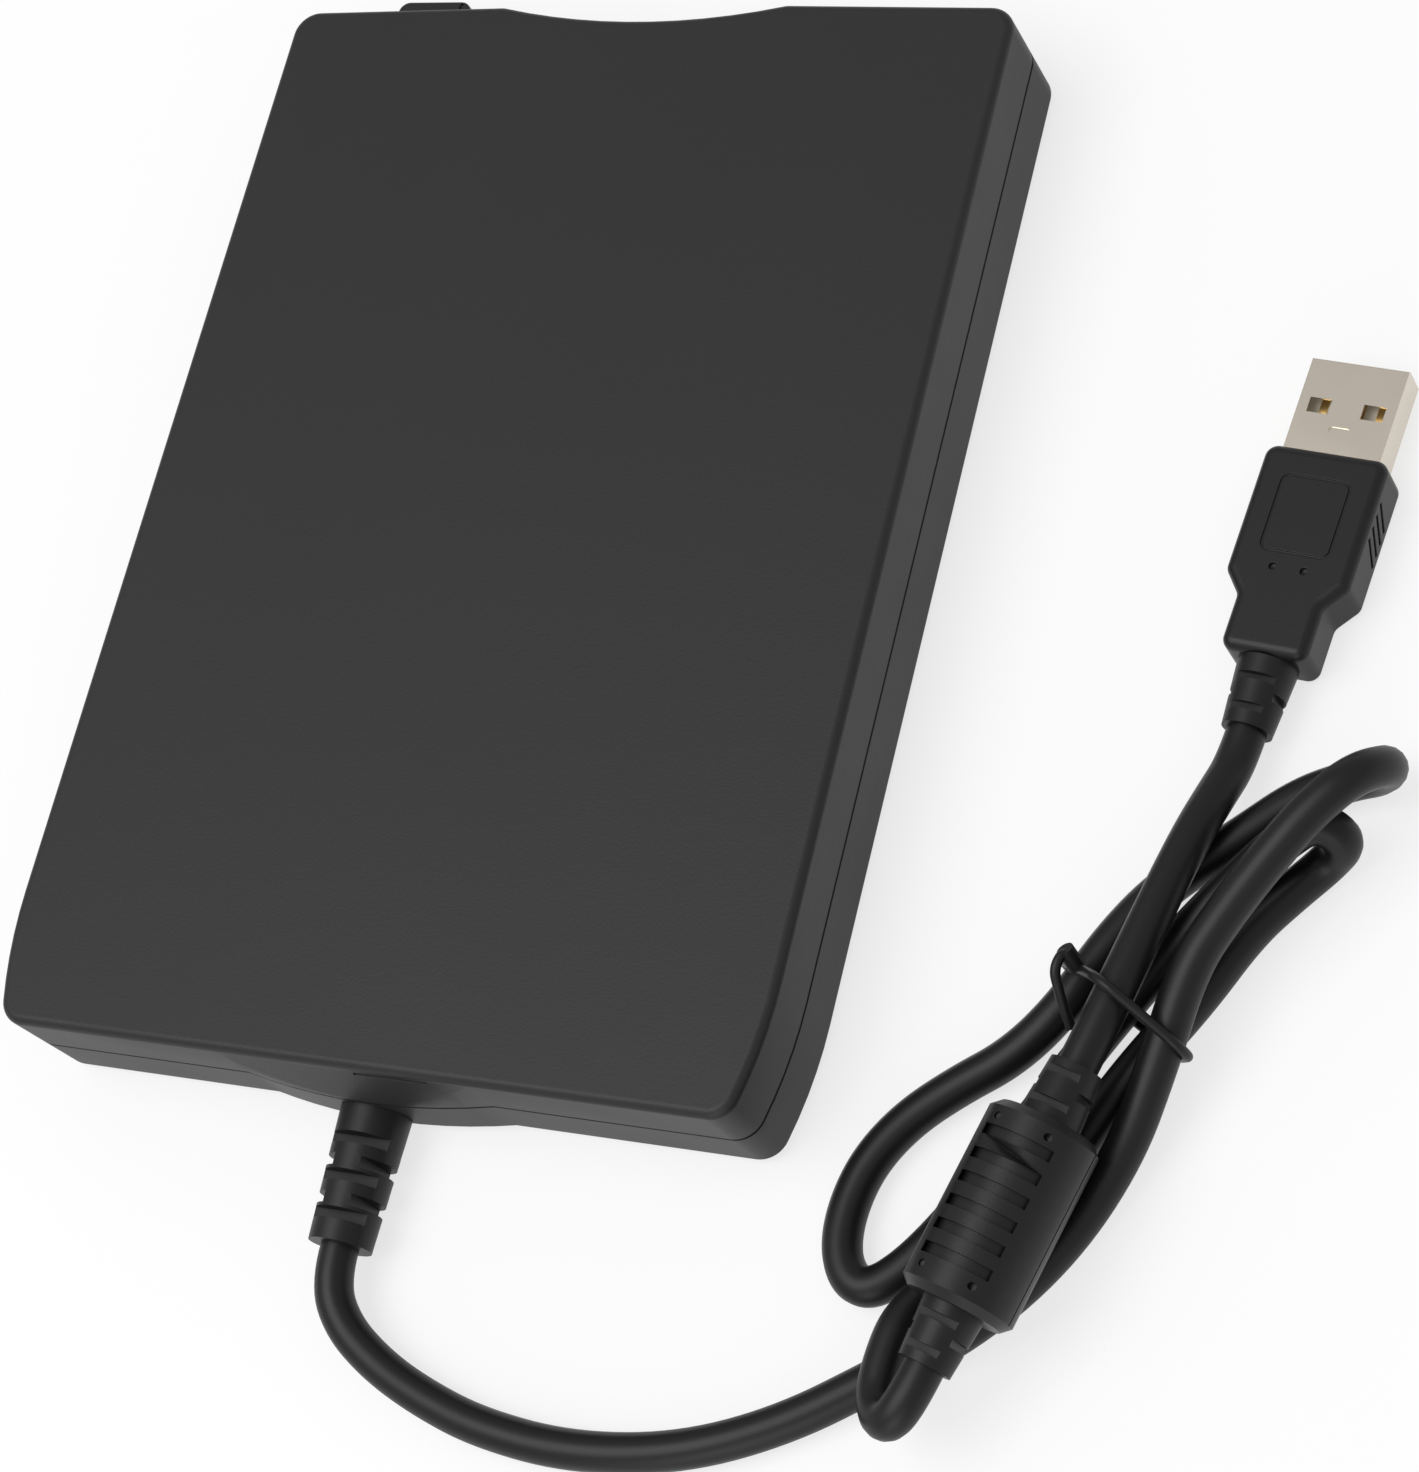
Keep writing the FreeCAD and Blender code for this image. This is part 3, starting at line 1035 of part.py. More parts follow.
def grip_groove(name, sign, middle, half_length, half_width, degrees):
    """Cutter for one slanted groove on a side of the grip."""
    turn = math.radians(degrees)
    face = S["plug_width"] / 2
    groove = DOC.addObject("Part::Box", name)
    for side, value in (("Length", 1.0), ("Width", half_width * 2), ("Height", half_length * 2)):
        bind(groove, side, value)
    groove.Placement = FreeCAD.Placement(FreeCAD.Vector(), FreeCAD.Rotation(FreeCAD.Vector(1, 0, 0), degrees))
    start = face - 0.35 if sign > 0 else 0.35 - face - 1.0
    place_at(groove, (start, middle - half_width * math.cos(turn) + half_length * math.sin(turn),
                      -half_width * math.sin(turn) - half_length * math.cos(turn)))
    return groove


def plug():
    """The computer end: grip with an engraved empty frame, and the metal shell."""
    neck_start, neck_end, wide_start, wide_end = 8.3, 15.1, 17.9, 34.2
    neck_half, half = 5.25, S["plug_width"] / 2
    low = -(S["plug_height"] / 2)
    high = S["plug_height"] / 2
    body = new_body("GripBody")
    outline = sketch(body, "GripPlan", "XY_Plane",
                     [(-neck_half, neck_start), (neck_half, neck_start), (neck_half, neck_end),
                      (half, wide_start), (half, wide_end), (-half, wide_end), (-half, wide_start),
                      (-neck_half, neck_end)], low)
    step = pad(body, outline, S["plug_height"])
    step = round_edges(body, step, lambda edge: upright(edge) and edge.BoundBox.YMin > wide_end - 0.1, 1.6,
                       "FrontRound")
    step = round_edges(body, step, lambda edge: upright(edge) and edge.BoundBox.YMin < wide_end - 0.1
                       and not abs(edge.BoundBox.YMin - wide_end + 1.6) < 0.1
                       and edge.BoundBox.XLength < 0.01, 1.5, "ShoulderRound")
    step = round_edges(body, step, level_at(high), 1.3, "TopRound")
    round_edges(body, step, level_at(low), 1.3, "LowRound")
    outer = rounded_bar("FrameOuter", (-4.3, 4.3), (20.7, 30.6), (high - 0.2, high + 1), 1.2)
    inner = rounded_bar("FrameInner", (-4.0, 4.0), (21.0, 30.3), (high - 1, high + 2), 0.9)
    tools = [carve("FrameGroove", outer, [inner])]
    for sign in (-1, 1):
        tools.append(rod("GripDimple", (sign * 1.9, 18.9, high - 0.5), 0.45, 1.0))
        for index in range(4):
            tools.append(grip_groove("GripGroove", sign, 24.0 + 1.5 * index, 2.2, 0.25, -25.0))
    turned_node("plug_grip", carve("PlugGrip", body, tools), PLUG_SPOT, PLUG_TURN)
    boot = cone("PlugBootCone", (0.0, 0.0, 0.0), S["small_boot"] - 0.6, S["small_boot"], neck_start, "y")
    slots = boot_slots((0.0, 0.0, 0.0), S["small_boot"], 2.5, (1.6, 3.4, 5.2), 0.9)
    turned_node("plug_boot", carve("PlugBoot", boot, slots), PLUG_SPOT, PLUG_TURN)
    wide, tall, sheet = S["shell_width"] / 2, S["shell_height"] / 2, S["shell_sheet"]
    tip = wide_end + S["shell_length"]
    blank = box("ShellOuter", (-wide, wide), (wide_end, tip), (-tall, tall))
    tools = [box("ShellInside", (sheet - wide, wide - sheet), (wide_end - 1.0, tip + 1.0),
                 (sheet - tall, tall - sheet))]
    for sign in (-1, 1):
        tools.append(box("LatchHole", (sign * 3.3 - 1.35, sign * 3.3 + 1.35), (tip - 6.9, tip - 5.0),
                         (-tall - 1, tall + 1)))
    tools.append(rounded_bar("ShellDimple", (-1.3, 1.3), (tip - 9.25, tip - 8.35),
                             (tall - 0.12, tall + 1), 0.44))
    turned_node("plug_shell", carve("PlugShell", blank, tools), PLUG_SPOT, PLUG_TURN)
    tongue_top = sheet - tall + 1.95
    turned_node("plug_insulator", box("PlugInsulator", (sheet - wide, wide - sheet), (wide_end, tip - 0.6),
                                      (sheet - tall, tongue_top)), PLUG_SPOT, PLUG_TURN)
    contacts = [box("PlugContact", (x - 0.5, x + 0.5), (tip - 8.6, tip - 1.2 - inset),
                    (tongue_top, tongue_top + 0.12))
                for x, inset in ((-3.5, 0.0), (-1.0, 1.0), (1.0, 1.0), (3.5, 0.0))]
    turned_node("plug_contacts", group("PlugContacts", contacts), PLUG_SPOT, PLUG_TURN)


def twist_tie():
    """Wire tie round the folded cable: a loop about the strands, a knot and a bent tail."""
    reach = float(S["cable_radius"]) + float(S["tie_radius"]) + 0.12
    up = FreeCAD.Vector(0, 0, 1)
    spots = [TIE_ORIGIN + TIE_ACROSS * across + up * height for across, height in TIE_STRANDS]
    outward = []
    for here, ahead in zip(spots, spots[1:] + spots[:1]):
        along = (ahead - here).normalize()
        outward.append((TIE_ACROSS * -along.dot(up) + up * along.dot(TIE_ACROSS)) * reach)
    edges = []
    for index, here in enumerate(spots):
        ahead = spots[(index + 1) % len(spots)]
        leave, meet = outward[index], outward[(index + 1) % len(spots)]
        crown = (leave + meet).normalize() * reach
        edges += [Part.LineSegment(here + leave, ahead + leave).toShape(),
                  Part.Arc(ahead + leave, ahead + crown, ahead + meet).toShape()]
    loop, _ = round_tube(edges, float(S["tie_radius"]))
    tail_line = tube_edges([FreeCAD.Vector(*point) for point in TIE_TAIL])[0]
    tail, _ = round_tube(tail_line, float(S["tie_radius"]))
    low, high = [FreeCAD.Vector(*point) for point in TIE_TAIL[:2]]
    knot = Part.makeCylinder(float(S["tie_radius"]) * 1.7, (high - low).Length, low, high - low)
    node("twist_tie", placed_shape("TwistTie", loop.fuse([tail, knot])))


def inner_leads():
    """Four wires from the boot to the header on the bridge board."""
    wires = []
    header_side = FreeCAD.Vector(-9.0, 0, 6.1)
    for index in range(4):
        x = float(S["boot_x"]) - 1.2 + 0.8 * index
        turn_y = 66.8 - 1.0 * index
        start = FreeCAD.Vector(x, float(REAR - S["wall"] - 0.8), float(S["boot_z"]))
        route = [start, FreeCAD.Vector(x, turn_y, start.z),
                 FreeCAD.Vector(header_side.x, turn_y, header_side.z)]
        wires.append(round_tube(tube_edges(route)[0], 0.35)[0])
    node("inner_leads", placed_shape("InnerLeads", Part.makeCompound(wires)))


bottom_cover()
top_cover()
case_fittings()
front_bezel()
dust_door()
indicator()
eject_button()
chassis()
spindle()
head_unit()
disk_holder()
slide_plate()
shutter_lever()
sensors()
electronics()
cable_boot()
cables()
ferrite()
plug()
twist_tie()
inner_leads()
DOC.recompute()


def faults():
    """Everything that failed to compute, or is no valid solid."""
    found = []
    for thing in DOC.Objects:
        if any(word in thing.State for word in ("Invalid", "Error")):
            found.append("%s: %s" % (thing.Name, thing.State))
    for thing in NODES:
        shape = thing.Shape
        if shape.isNull() or not shape.isValid() or not shape.Solids:
            found.append("%s: bad shape" % thing.Label)
    return found


problems = faults()
for line in problems:
    print(line)
if problems:
    raise SystemExit("the model has faults")
os.makedirs("parts", exist_ok=True)
for thing in NODES:
    thing.Shape.exportStep("parts/%s.step" % thing.Label)
print("%d nodes, %d solids" % (len(NODES), sum(len(thing.Shape.Solids) for thing in NODES)))
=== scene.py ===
# %% [markdown]
# # A USB floppy disk drive with its folded cable
# The measured solids of the drive are loaded first and stay where they are. Everything made here is
# dressed round them: rounded copies of the moulded pieces, smooth cables, and finishes made of nodes.

# %% Load the solids
import bpy
import json
import math
from mathutils import Matrix, Vector


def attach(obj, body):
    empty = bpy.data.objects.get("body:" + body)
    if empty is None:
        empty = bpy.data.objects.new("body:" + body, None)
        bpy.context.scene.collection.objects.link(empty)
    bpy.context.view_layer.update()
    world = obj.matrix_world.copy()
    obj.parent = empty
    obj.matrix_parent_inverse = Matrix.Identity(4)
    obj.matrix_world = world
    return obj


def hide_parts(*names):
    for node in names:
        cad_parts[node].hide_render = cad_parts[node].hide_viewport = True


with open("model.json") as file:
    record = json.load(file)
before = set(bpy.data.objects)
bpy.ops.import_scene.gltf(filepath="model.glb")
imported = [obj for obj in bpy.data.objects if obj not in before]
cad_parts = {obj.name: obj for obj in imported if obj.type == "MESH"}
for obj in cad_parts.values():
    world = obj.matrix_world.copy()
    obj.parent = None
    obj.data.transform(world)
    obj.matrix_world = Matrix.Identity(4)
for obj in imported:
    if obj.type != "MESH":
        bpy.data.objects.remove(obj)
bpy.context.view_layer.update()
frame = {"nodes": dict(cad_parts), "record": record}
MM = 0.001
scene = bpy.context.scene
scene.view_settings.view_transform = "Standard"

# %% [markdown]
# The camera is placed first, because everything after is judged through it. It looks down on the rear left
# corner from about half a metre with a long lens, which keeps the sides of the case nearly parallel.

# %% Camera
CENTRE_Y = 3.1
eye = Vector((-225.39, 163.07 + CENTRE_Y, 381.59)) * MM
right = Vector((-0.8952, -0.2350, -0.3786))
down = Vector((-0.0784, 0.9195, -0.3852))
away = Vector((0.4386, -0.3152, -0.8416))
lens = bpy.data.cameras.new("photo_camera")
lens.sensor_fit = "VERTICAL"
lens.sensor_height = 36.0
lens.lens = 91.0
lens.clip_start = 0.01
camera = bpy.data.objects.new("photo_camera", lens)
scene.collection.objects.link(camera)
camera.matrix_world = Matrix.Translation(eye) @ Matrix((right, -down, -away)).transposed().to_4x4()
scene.camera = camera
print("camera stands", round(eye.z, 3), "m above the table")

# %% [markdown]
# A cable is round, smooth and of one thickness, so it starts as a curve with a round section. The points
# are the corners of its route over the table: out of the strain relief, round to the folded bundle, through
# its folds, and up to the ferrite housing. A curve of order three cuts inside the corners and never kinks.
# Its own line is kept with its length, and the curve is then made a mesh.

# %% Cables
LONG_ROUTE = [
    (1.9, 90.2, 4.7), (1.9, 94.6, 4.7), (-0.8, 99.2, 3.8), (-6.1, 102.8, 2.9), (-12.6, 105.5, 2.6),
    (-21, 107.8, 2.4), (-33, 108.7, 2.4), (-46.1, 106.7, 2.4), (-57.9, 101.6, 2.4), (-68.2, 94.3, 2.4),
    (-77.6, 87.3, 2.5), (-85.6, 77.6, 2.7), (-91.1, 66.6, 4.3), (-93.9, 56.7, 7.6), (-96.1, 45.9, 10.4),
    (-99.5, 39.6, 11.8), (-103.1, 34, 13.1), (-107.3, 28.1, 14.5), (-111.3, 23.5, 14.5),
    (-113.7, 20.1, 9.7), (-111.7, 19.3, 4.1), (-107.4, 19.8, 2.6), (-102, 22.4, 2.5),
    (-96.3, 27.8, 2.6), (-88.5, 34.5, 2.6), (-84.1, 41.9, 3.6), (-80.4, 50.3, 3.8), (-75.3, 56.3, 2.6),
    (-69.3, 60.6, 2.4), (-64.3, 65.2, 2.4), (-60.9, 70.6, 2.4), (-59.6, 76.2, 2.4), (-59.9, 81.0, 2.4),
    (-61.8, 84.3, 2.4), (-64.6, 85.0, 2.4), (-67.9, 82.3, 2.4), (-71.4, 77.6, 2.4), (-75, 71.3, 2.4),
    (-79.2, 63.6, 2.5), (-84.1, 54.6, 3.6), (-89.4, 45.7, 4), (-94.2, 38.7, 5), (-99.0, 32.8, 5.8),
    (-102.9, 29.3, 7.6), (-106.4, 27.0, 8.8), (-109.6, 28.0, 6.0), (-106.9, 29.5, 2.4), (-103.3, 33.6, 2.4),
    (-99.3, 38.7, 2.5), (-95.5, 47.8, 3.9), (-89.8, 56.6, 3.6), (-84.5, 66.3, 2.5), (-79.4, 76.5, 2.5),
    (-73.3, 83.7, 4.1), (-70.8, 88.4, 7.0), (-70.2, 93.5, 7.7), (-70.4, 98.2, 8.1), (-73.0, 100.9, 10.2),
    (-75.4, 98.5, 11.8), (-76.58, 94.22, 11.8)]
SHORT_ROUTE = [
    (-86.42, 59.28, 11.8), (-87.75, 54.55, 11.8), (-89.1, 48.5, 11.4), (-90.4, 41.5, 10.3),
    (-91.6, 34.8, 9.1), (-92.7, 28.8, 7.7), (-93.6, 23.8, 5.7), (-94.4, 19.4, 3.85), (-94.9, 15.4, 3.85)]
CABLE_RADIUS = 2.35
CAP_ANGLE = 50


def select_only(piece):
    bpy.ops.object.select_all(action="DESELECT")
    piece.select_set(True)
    bpy.context.view_layer.objects.active = piece


def centre_line(cable):
    """The points of a curve's own line, taken from a copy without thickness."""
    thin = cable.copy()
    thin.data = cable.data.copy()
    thin.data.bevel_depth = 0.0
    line = bpy.data.meshes.new_from_object(thin)
    spots = [tuple(vertex.co) for vertex in line.vertices]
    bpy.data.objects.remove(thin)
    bpy.data.meshes.remove(line)
    return spots


def lay_cable(name, route):
    """A smooth round cable along the corners of its route, in millimetres, with its line and length."""
    line = bpy.data.curves.new(name, "CURVE")
    line.dimensions = "3D"
    spline = line.splines.new("NURBS")
    spline.points.add(len(route) - 1)
    for point, (x, y, z) in zip(spline.points, route):
        point.co = (x * MM, (y + CENTRE_Y) * MM, z * MM, 1.0)
    spline.order_u = 3
    spline.use_endpoint_u = True
    spline.resolution_u = 8
    line.bevel_depth = CABLE_RADIUS * MM
    line.bevel_resolution = 6
    line.use_fill_caps = True
    cable = bpy.data.objects.new(name, line)
    scene.collection.objects.link(cable)
    spots = centre_line(cable)
    select_only(cable)
    bpy.ops.object.convert(target="MESH")
    bpy.ops.object.shade_smooth_by_angle(angle=math.radians(CAP_ANGLE))
    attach(cable, "case")
    return cable, spots, sum(math.dist(before, after) for before, after in zip(spots, spots[1:]))


long_cable, long_line, long_length = lay_cable("usb_cable_long", LONG_ROUTE)
short_cable, short_line, short_length = lay_cable("usb_cable_short", SHORT_ROUTE)
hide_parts("cable_long")
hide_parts("cable_short")
print("cable lengths", round(long_length, 4), round(short_length, 4))

# %% [markdown]
# Real mouldings have no sharp edges: even a tight tool leaves a radius of a tenth of a millimetre, and that
# radius is what catches the light. Most pieces seen from outside are therefore merged copies of their solids
# with the edges bevelled, which keeps every size and gives the highlights that a plain solid lacks. The
# ribbed boots, the ferrite housing and the tie have a width of nothing and are copied as they are.

# %% Rounded copies of the solids


MERGE_WITHIN = 0.002
FLAT_ANGLE = 0.5
SHARP_ANGLE = 35.0
EDGE_SEGMENTS = 2
FACE_WEIGHT = 80


def round_edges(piece, width, shortest):
    """Merge a copied solid, bevel its edges and shade it evenly; shortest leaves out short edges."""
    select_only(piece)
    bpy.ops.object.mode_set(mode="EDIT")
    bpy.ops.mesh.select_all(action="SELECT")
    bpy.ops.mesh.remove_doubles(threshold=MERGE_WITHIN * MM)
    bpy.ops.mesh.dissolve_limited(angle_limit=math.radians(FLAT_ANGLE))
    bpy.ops.object.mode_set(mode="OBJECT")
    if piece.data.has_custom_normals:
        bpy.ops.mesh.customdata_custom_splitnormals_clear()
    edge = piece.modifiers.new("edges", "BEVEL")
    edge.width = width * MM
    edge.segments = EDGE_SEGMENTS
    edge.limit_method = "ANGLE"
    edge.angle_limit = math.radians(SHARP_ANGLE)
    if shortest:
        edge.limit_method = "WEIGHT"
        weights = piece.data.attributes.new("bevel_weight_edge", "FLOAT", "EDGE")
        for row in piece.data.edges:
            start, end = (piece.data.vertices[index].co for index in row.vertices)
            weights.data[row.index].value = float((end - start).length > shortest * MM)
    bpy.ops.object.modifier_apply(modifier=edge.name)
    bpy.ops.object.shade_smooth_by_angle(angle=math.radians(SHARP_ANGLE))
    even = piece.modifiers.new("even_shading", "WEIGHTED_NORMAL")
    even.keep_sharp = True
    even.weight = FACE_WEIGHT


def rounded_copy(node, width, shortest):
    """A copy that stands for a solid, its edges rounded by width in millimetres where a width is given."""
    piece = bpy.data.objects.new(node + "_finished", frame["nodes"][node].data.copy())
    scene.collection.objects.link(piece)
    if width:
        round_edges(piece, width, shortest)
    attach(piece, BODY_OF[node])
    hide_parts(node)
    return piece


SLOT_OF = {row["node"]: row["material_slot"] for row in frame["record"]["subparts"]}
BODY_OF = {node: body for body, nodes in frame["record"]["behaviour"]["bodies"].items() for node in nodes}
EDGE_WIDTHS = {
    "top_cover": 0.16, "bottom_cover": 0.16, "front_bezel": 0.15, "dust_door": 0.1, "eject_button": 0.15,
    "cable_boot": 0.0, "ferrite_boots": 0.0, "plug_boot": 0.0, "plug_grip": 0.1, "ferrite_housing": 0.0,
    "plug_shell": 0.28, "rubber_feet": 0.3, "indicator_lens": 0.1, "case_screws": 0.1,
    "plug_insulator": 0.05, "plug_contacts": 0.02, "twist_tie": 0.0}
SHORTEST_EDGES = {"plug_shell": 8.0}
dressed = {}
for node, width in EDGE_WIDTHS.items():
    dressed[node] = rounded_copy(node, width, SHORTEST_EDGES.get(node, 0.0))
print("rounded copies", len(dressed))

# %% [markdown]
# One small mark finishes the outside: a narrow slit across the top shell's rounding above the cable.

# %% Slit above the cable
SLIT_LOW = (-10.5, 71.0, 16.1)
SLIT_HIGH = (-0.6, 75.0, 16.6)


def cut_block(piece, low, high):
    """Take a block between two corners, in millimetres, out of a piece."""
    x, y, z = [(a + b) / 2 for a, b in zip(low, high)]
    bpy.ops.mesh.primitive_cube_add(size=1.0, location=(x * MM, (y + CENTRE_Y) * MM, z * MM))
    cutter = bpy.context.object
    cutter.scale = [(b - a) * MM for a, b in zip(low, high)]
    bpy.ops.object.transform_apply(location=True, rotation=False, scale=True)
    select_only(piece)
    cut = piece.modifiers.new("slit", "BOOLEAN")
    cut.object = cutter
    cut.solver = "EXACT"
    bpy.ops.object.modifier_move_to_index(modifier=cut.name, index=0)
    bpy.ops.object.modifier_apply(modifier=cut.name)
    bpy.data.objects.remove(cutter)


cut_block(dressed["top_cover"], SLIT_LOW, SLIT_HIGH)
print("slit cut", len(dressed["top_cover"].data.vertices), "points")

# %% [markdown]

# %% [markdown]
# Two effects are shared by many finishes. Moulded plastic has a fine eroded texture and slight differences
# in gloss where hands have been. Sheet metal has faint lines along its rolling direction. Each is a node
# group with named inputs, so that every material can ask for its own amount.

# %% Shared effects


def new_group(name, inputs, outputs):
    """A node group with float or colour sockets; inputs maps a name to its default."""
    group = bpy.data.node_groups.new(name, "ShaderNodeTree")
    for label, default in inputs.items():
        kind = "NodeSocketColor" if isinstance(default, tuple) else "NodeSocketFloat"
        socket = group.interface.new_socket(name=label, in_out="INPUT", socket_type=kind)
        socket.default_value = default
    for label, kind in outputs.items():
        group.interface.new_socket(name=label, in_out="OUTPUT", socket_type=kind)
    return group, group.nodes.new("NodeGroupInput"), group.nodes.new("NodeGroupOutput")


def add_node(tree, kind, settings=None, **inputs):
    """A node with its settings, and its inputs set or linked by socket name or number."""
    made = tree.nodes.new(kind)
    for key, value in (settings or {}).items():
        setattr(made, key, value)
    for key, value in inputs.items():
        socket = made.inputs[int(key[1:])] if key[0] == "i" and key[1:].isdigit() else made.inputs[key]
        if isinstance(value, bpy.types.NodeSocket):
            tree.links.new(value, socket)
        else:
            socket.default_value = value
    return made


def math_node(tree, operation, first, second):
    return add_node(tree, "ShaderNodeMath", {"operation": operation}, i0=first, i1=second).outputs[0]


# Height and half width, in millimetres, of the near-black line of painted shade where the two shells meet.
JOINT_SHADE_HEIGHT = 9.4
JOINT_SHADE_HALF = 0.24


def moulded_texture():
    """Fine eroded texture, gloss patches, a little dust, and a line of painted shade where shells meet."""
    group, given, out = new_group(
        "moulded_texture",
        {"Colour": (0.1, 0.1, 0.1, 1.0), "Roughness": 0.5, "Grain": 3500.0, "Patches": 0.1, "Dust": 0.0,
         "Seam": -1.0},
        {"Colour": "NodeSocketColor", "Roughness": "NodeSocketFloat", "Height": "NodeSocketFloat"})
    place = add_node(group, "ShaderNodeTexCoord").outputs["Object"]
    grain = add_node(group, "ShaderNodeTexNoise", Vector=place, Scale=given.outputs["Grain"], Detail=2.0)
    patches = add_node(group, "ShaderNodeTexNoise", Vector=place, Scale=45.0, Detail=5.0, Roughness=0.6)
    specks = add_node(group, "ShaderNodeTexNoise", Vector=place, Scale=900.0, Detail=3.0)
    uneven = math_node(group, "SUBTRACT", patches.outputs["Fac"], 0.5)
    spread = math_node(group, "MULTIPLY", uneven, given.outputs["Patches"])
    gloss = math_node(group, "ADD", given.outputs["Roughness"], spread)
    chosen = add_node(group, "ShaderNodeMapRange", {"clamp": True}, Value=specks.outputs["Fac"],
                      **{"From Min": 0.62, "From Max": 0.75})
    dusty = math_node(group, "MULTIPLY", chosen.outputs["Result"], given.outputs["Dust"])
    shade = add_node(group, "ShaderNodeMix", {"data_type": "RGBA", "blend_type": "MIX"}, Factor=dusty)
    group.links.new(given.outputs["Colour"], shade.inputs[6])
    shade.inputs[7].default_value = (0.35, 0.34, 0.32, 1.0)
    # A near-black band at the given height is painted shade for the gap between the shells, and it is made
    # fully rough there.
    height = add_node(group, "ShaderNodeSeparateXYZ", Vector=place).outputs["Z"]
    joint_shade_offset = math_node(group, "SUBTRACT", height, given.outputs["Seam"])
    joint_shade_distance = math_node(group, "ABSOLUTE", joint_shade_offset, 0.0)
    in_joint_shade = math_node(group, "LESS_THAN", joint_shade_distance, JOINT_SHADE_HALF * MM)
    joint_shaded = add_node(group, "ShaderNodeMix", {"data_type": "RGBA", "blend_type": "MIX"}, Factor=in_joint_shade)
    group.links.new(shade.outputs[2], joint_shaded.inputs[6])
    joint_shaded.inputs[7].default_value = (0.0005, 0.0005, 0.0005, 1.0)
    group.links.new(joint_shaded.outputs[2], out.inputs["Colour"])
    group.links.new(math_node(group, "MAXIMUM", gloss, in_joint_shade), out.inputs["Roughness"])
    group.links.new(grain.outputs["Fac"], out.inputs["Height"])
    return group


def rolled_metal():
    """Faint lines along one direction, for sheet, bars and cans."""
    group, given, out = new_group(
        "rolled_metal",
        {"Colour": (0.6, 0.6, 0.6, 1.0), "Roughness": 0.3, "Lines": 1.0, "Patches": 0.1},
        {"Colour": "NodeSocketColor", "Roughness": "NodeSocketFloat", "Height": "NodeSocketFloat"})
    place = add_node(group, "ShaderNodeTexCoord").outputs["Object"]
    stretch = add_node(group, "ShaderNodeMapping", Vector=place, Scale=(60.0, 4000.0, 4000.0))
    lines = add_node(group, "ShaderNodeTexNoise", Vector=stretch.outputs["Vector"], Scale=1.0, Detail=3.0)
    patches = add_node(group, "ShaderNodeTexNoise", Vector=place, Scale=70.0, Detail=4.0)
    level = math_node(group, "MULTIPLY", lines.outputs["Fac"], given.outputs["Lines"])
    spread = math_node(group, "MULTIPLY", patches.outputs["Fac"], given.outputs["Patches"])
    gloss = math_node(group, "ADD", given.outputs["Roughness"], spread)
    shade = add_node(group, "ShaderNodeMix", {"data_type": "RGBA", "blend_type": "MULTIPLY"}, Factor=spread)
    group.links.new(given.outputs["Colour"], shade.inputs[6])
    shade.inputs[7].default_value = (0.5, 0.5, 0.5, 1.0)
    group.links.new(shade.outputs[2], out.inputs["Colour"])
    group.links.new(gloss, out.inputs["Roughness"])
    group.links.new(level, out.inputs["Height"])
    return group


MOULDED = moulded_texture()
ROLLED = rolled_metal()

# %% [markdown]
# One material stands for each slot of the parts list. Plastics differ in colour, gloss and grain; metals
# in colour and in how strong their lines are. The case is a dark neutral grey, the cable a little darker
# with a satin jacket, and the plug's shell is bright nickel with a warm cast.

# %% Materials


PLASTIC_SHEEN = 0.3
METAL_SHEEN = 0.5


def finish(name, group, colour, roughness, depth, metallic=0.0, coat=0.0, **amounts):
    """A Principled material fed by one shared effect; depth is the height of its bumps in millimetres."""
    material = bpy.data.materials.new(name)
    material.use_nodes = True
    tree = material.node_tree
    shader = tree.nodes["Principled BSDF"]
    effect = add_node(tree, "ShaderNodeGroup", {"node_tree": group}, Colour=(*colour, 1.0),
                      Roughness=roughness, **amounts)
    tree.links.new(effect.outputs["Colour"], shader.inputs["Base Color"])
    tree.links.new(effect.outputs["Roughness"], shader.inputs["Roughness"])
    bump = add_node(tree, "ShaderNodeBump", Strength=1.0, Distance=depth * MM,
                    Height=effect.outputs["Height"])
    tree.links.new(bump.outputs["Normal"], shader.inputs["Normal"])
    shader.inputs["Metallic"].default_value = metallic
    shader.inputs["Coat Weight"].default_value = coat
    shader.inputs["Specular IOR Level"].default_value = METAL_SHEEN if metallic else PLASTIC_SHEEN
    MATERIALS[name] = material


def plastic(name, colour, roughness, depth, **amounts):
    finish(name, MOULDED, colour, roughness, depth, **amounts)


def metal(name, colour, roughness, depth, **amounts):
    finish(name, ROLLED, colour, roughness, depth, metallic=1.0, **amounts)


MATERIALS = {}
# The case plastic carries the line of painted shade at the height where its two shells meet.
plastic("case_plastic", (0.016, 0.016, 0.0165), 0.46, 0.02, Grain=3200.0, Patches=0.12,
        Seam=JOINT_SHADE_HEIGHT * MM)
plastic("bezel_plastic", (0.014, 0.014, 0.0145), 0.5, 0.02, Grain=3200.0)
plastic("button_plastic", (0.016, 0.016, 0.0165), 0.38, 0.01, Grain=3600.0)
plastic("door_plastic", (0.012, 0.012, 0.0125), 0.42, 0.01, Grain=3600.0)
plastic("rubber", (0.02, 0.02, 0.02), 0.75, 0.03, Grain=2200.0, Dust=0.15)
plastic("cable_jacket", (0.006, 0.006, 0.0064), 0.42, 0.006, Grain=2600.0, Patches=0.16)
plastic("boot_rubber", (0.007, 0.007, 0.0074), 0.44, 0.012, Grain=2600.0)
plastic("plug_plastic", (0.008, 0.008, 0.0084), 0.4, 0.012, Grain=3000.0)
metal("plug_metal", (0.72, 0.65, 0.56), 0.2, 0.002, Lines=0.4, Patches=0.12)
plastic("white_plastic", (0.75, 0.7, 0.58), 0.4, 0.004, Grain=3000.0)
metal("gold", (0.85, 0.6, 0.24), 0.22, 0.001, Lines=0.2)
plastic("lens", (0.12, 0.42, 0.16), 0.12, 0.001, coat=0.3, Grain=900.0)
metal("steel", (0.55, 0.55, 0.56), 0.3, 0.003)
metal("dark_steel", (0.16, 0.16, 0.165), 0.34, 0.002)
metal("aluminium", (0.7, 0.7, 0.71), 0.4, 0.006, Patches=0.2)
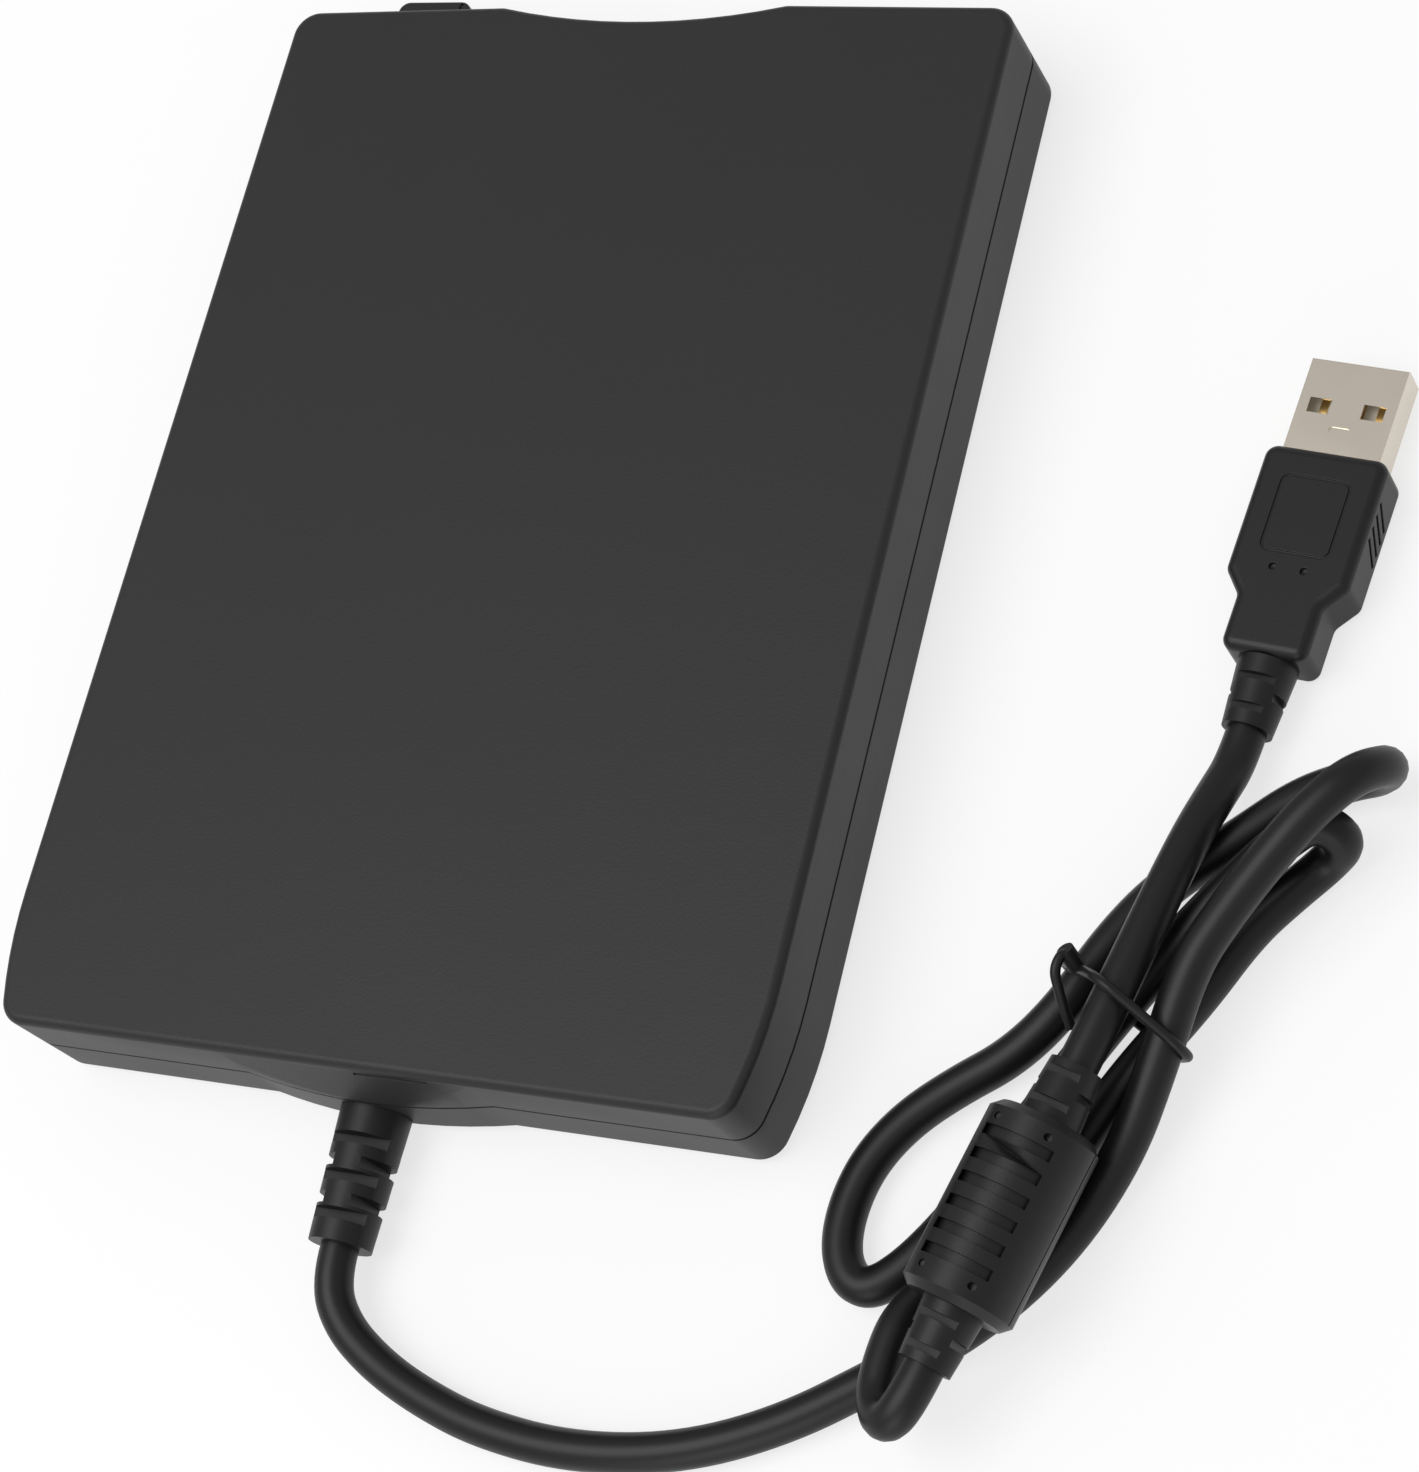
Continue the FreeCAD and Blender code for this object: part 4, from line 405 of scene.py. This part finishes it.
plastic("circuit_board", (0.012, 0.09, 0.035), 0.28, 0.004, coat=0.3, Grain=1200.0)
plastic("chip_black", (0.012, 0.012, 0.012), 0.5, 0.01, Grain=4000.0)
metal("copper", (0.6, 0.26, 0.12), 0.35, 0.02, Lines=1.0)
plastic("magnet", (0.06, 0.06, 0.06), 0.5, 0.01, metallic=0.5, Grain=2800.0)
plastic("mechanism_plastic", (0.03, 0.03, 0.03), 0.5, 0.01, Grain=2800.0)
finish("ribbon", ROLLED, (0.65, 0.62, 0.5), 0.45, 0.01, Lines=1.0)
plastic("wire_insulation", (0.35, 0.04, 0.03), 0.4, 0.004, Grain=2000.0)


def paint(piece, material):
    piece.data.materials.clear()
    piece.data.materials.append(material)


for node, piece in frame["nodes"].items():
    paint(piece, MATERIALS[SLOT_OF[node]])
for node, piece in dressed.items():
    paint(piece, MATERIALS[SLOT_OF[node]])
for cable in (long_cable, short_cable):
    paint(cable, MATERIALS["cable_jacket"])
print("materials", len(MATERIALS))

# %% [markdown]
# A product photograph on white is lit from all round by large soft sources, so the world is plain white
# light, a broad lamp above gives the faint shadow, and a panel behind lights the rear wall. The floor is
# pale, and for the camera and for reflections it is brightened to white while it keeps the drive's shadow.

# %% Floor and light
PAPER = 0.86
GLOW_SHARE = 0.72
WORLD_LIGHT = 0.55
bpy.ops.mesh.primitive_plane_add(size=6.0, location=(0.0, 0.0, 0.0))
floor = bpy.context.object
floor.name = "floor"
paper = bpy.data.materials.new("white_paper")
paper.use_nodes = True
tree = paper.node_tree
tree.nodes.clear()
surface = add_node(tree, "ShaderNodeBsdfDiffuse", Color=(PAPER, PAPER, PAPER, 1.0))
glow = add_node(tree, "ShaderNodeEmission", Color=(1.0, 1.0, 1.0, 1.0), Strength=1.0)
seen = add_node(tree, "ShaderNodeLightPath")
rays = math_node(tree, "MAXIMUM", seen.outputs["Is Camera Ray"], seen.outputs["Is Glossy Ray"])
share = math_node(tree, "MULTIPLY", rays, GLOW_SHARE)
blend = add_node(tree, "ShaderNodeMixShader", i0=share, i1=surface.outputs[0], i2=glow.outputs[0])
add_node(tree, "ShaderNodeOutputMaterial", Surface=blend.outputs[0])
paint(floor, paper)

world = bpy.data.worlds.new("studio")
scene.world = world
world.use_nodes = True
sky = world.node_tree
sky.nodes.clear()
bright = add_node(sky, "ShaderNodeBackground", Color=(1.0, 1.0, 1.0, 1.0), Strength=1.0)
soft = add_node(sky, "ShaderNodeBackground", Color=(1.0, 1.0, 1.0, 1.0), Strength=WORLD_LIGHT)
ray = add_node(sky, "ShaderNodeLightPath")
pick = add_node(sky, "ShaderNodeMixShader", i0=ray.outputs["Is Camera Ray"], i1=soft.outputs[0],
                i2=bright.outputs[0])
add_node(sky, "ShaderNodeOutputWorld", Surface=pick.outputs[0])


def soft_lamp(name, place, aim, size, power):
    """A square lamp that points at a spot on the table."""
    lamp = bpy.data.lights.new(name, "AREA")
    lamp.shape = "SQUARE"
    lamp.size = size
    lamp.energy = power
    holder = bpy.data.objects.new(name, lamp)
    holder.location = place
    holder.rotation_euler = (Vector(aim) - Vector(place)).to_track_quat("-Z", "Y").to_euler()
    scene.collection.objects.link(holder)
    return holder


soft_lamp("overhead", (0.35, 0.25, 1.1), (0.0, 0.0, 0.0), 0.9, 9.0)
soft_lamp("rear_panel", (-0.2, 1.2, 0.45), (0.0, 0.0, 0.0), 0.8, 4.0)

# %% [markdown]
# Last, the view layer is brought up to date.

# %% Finish
bpy.context.view_layer.update()
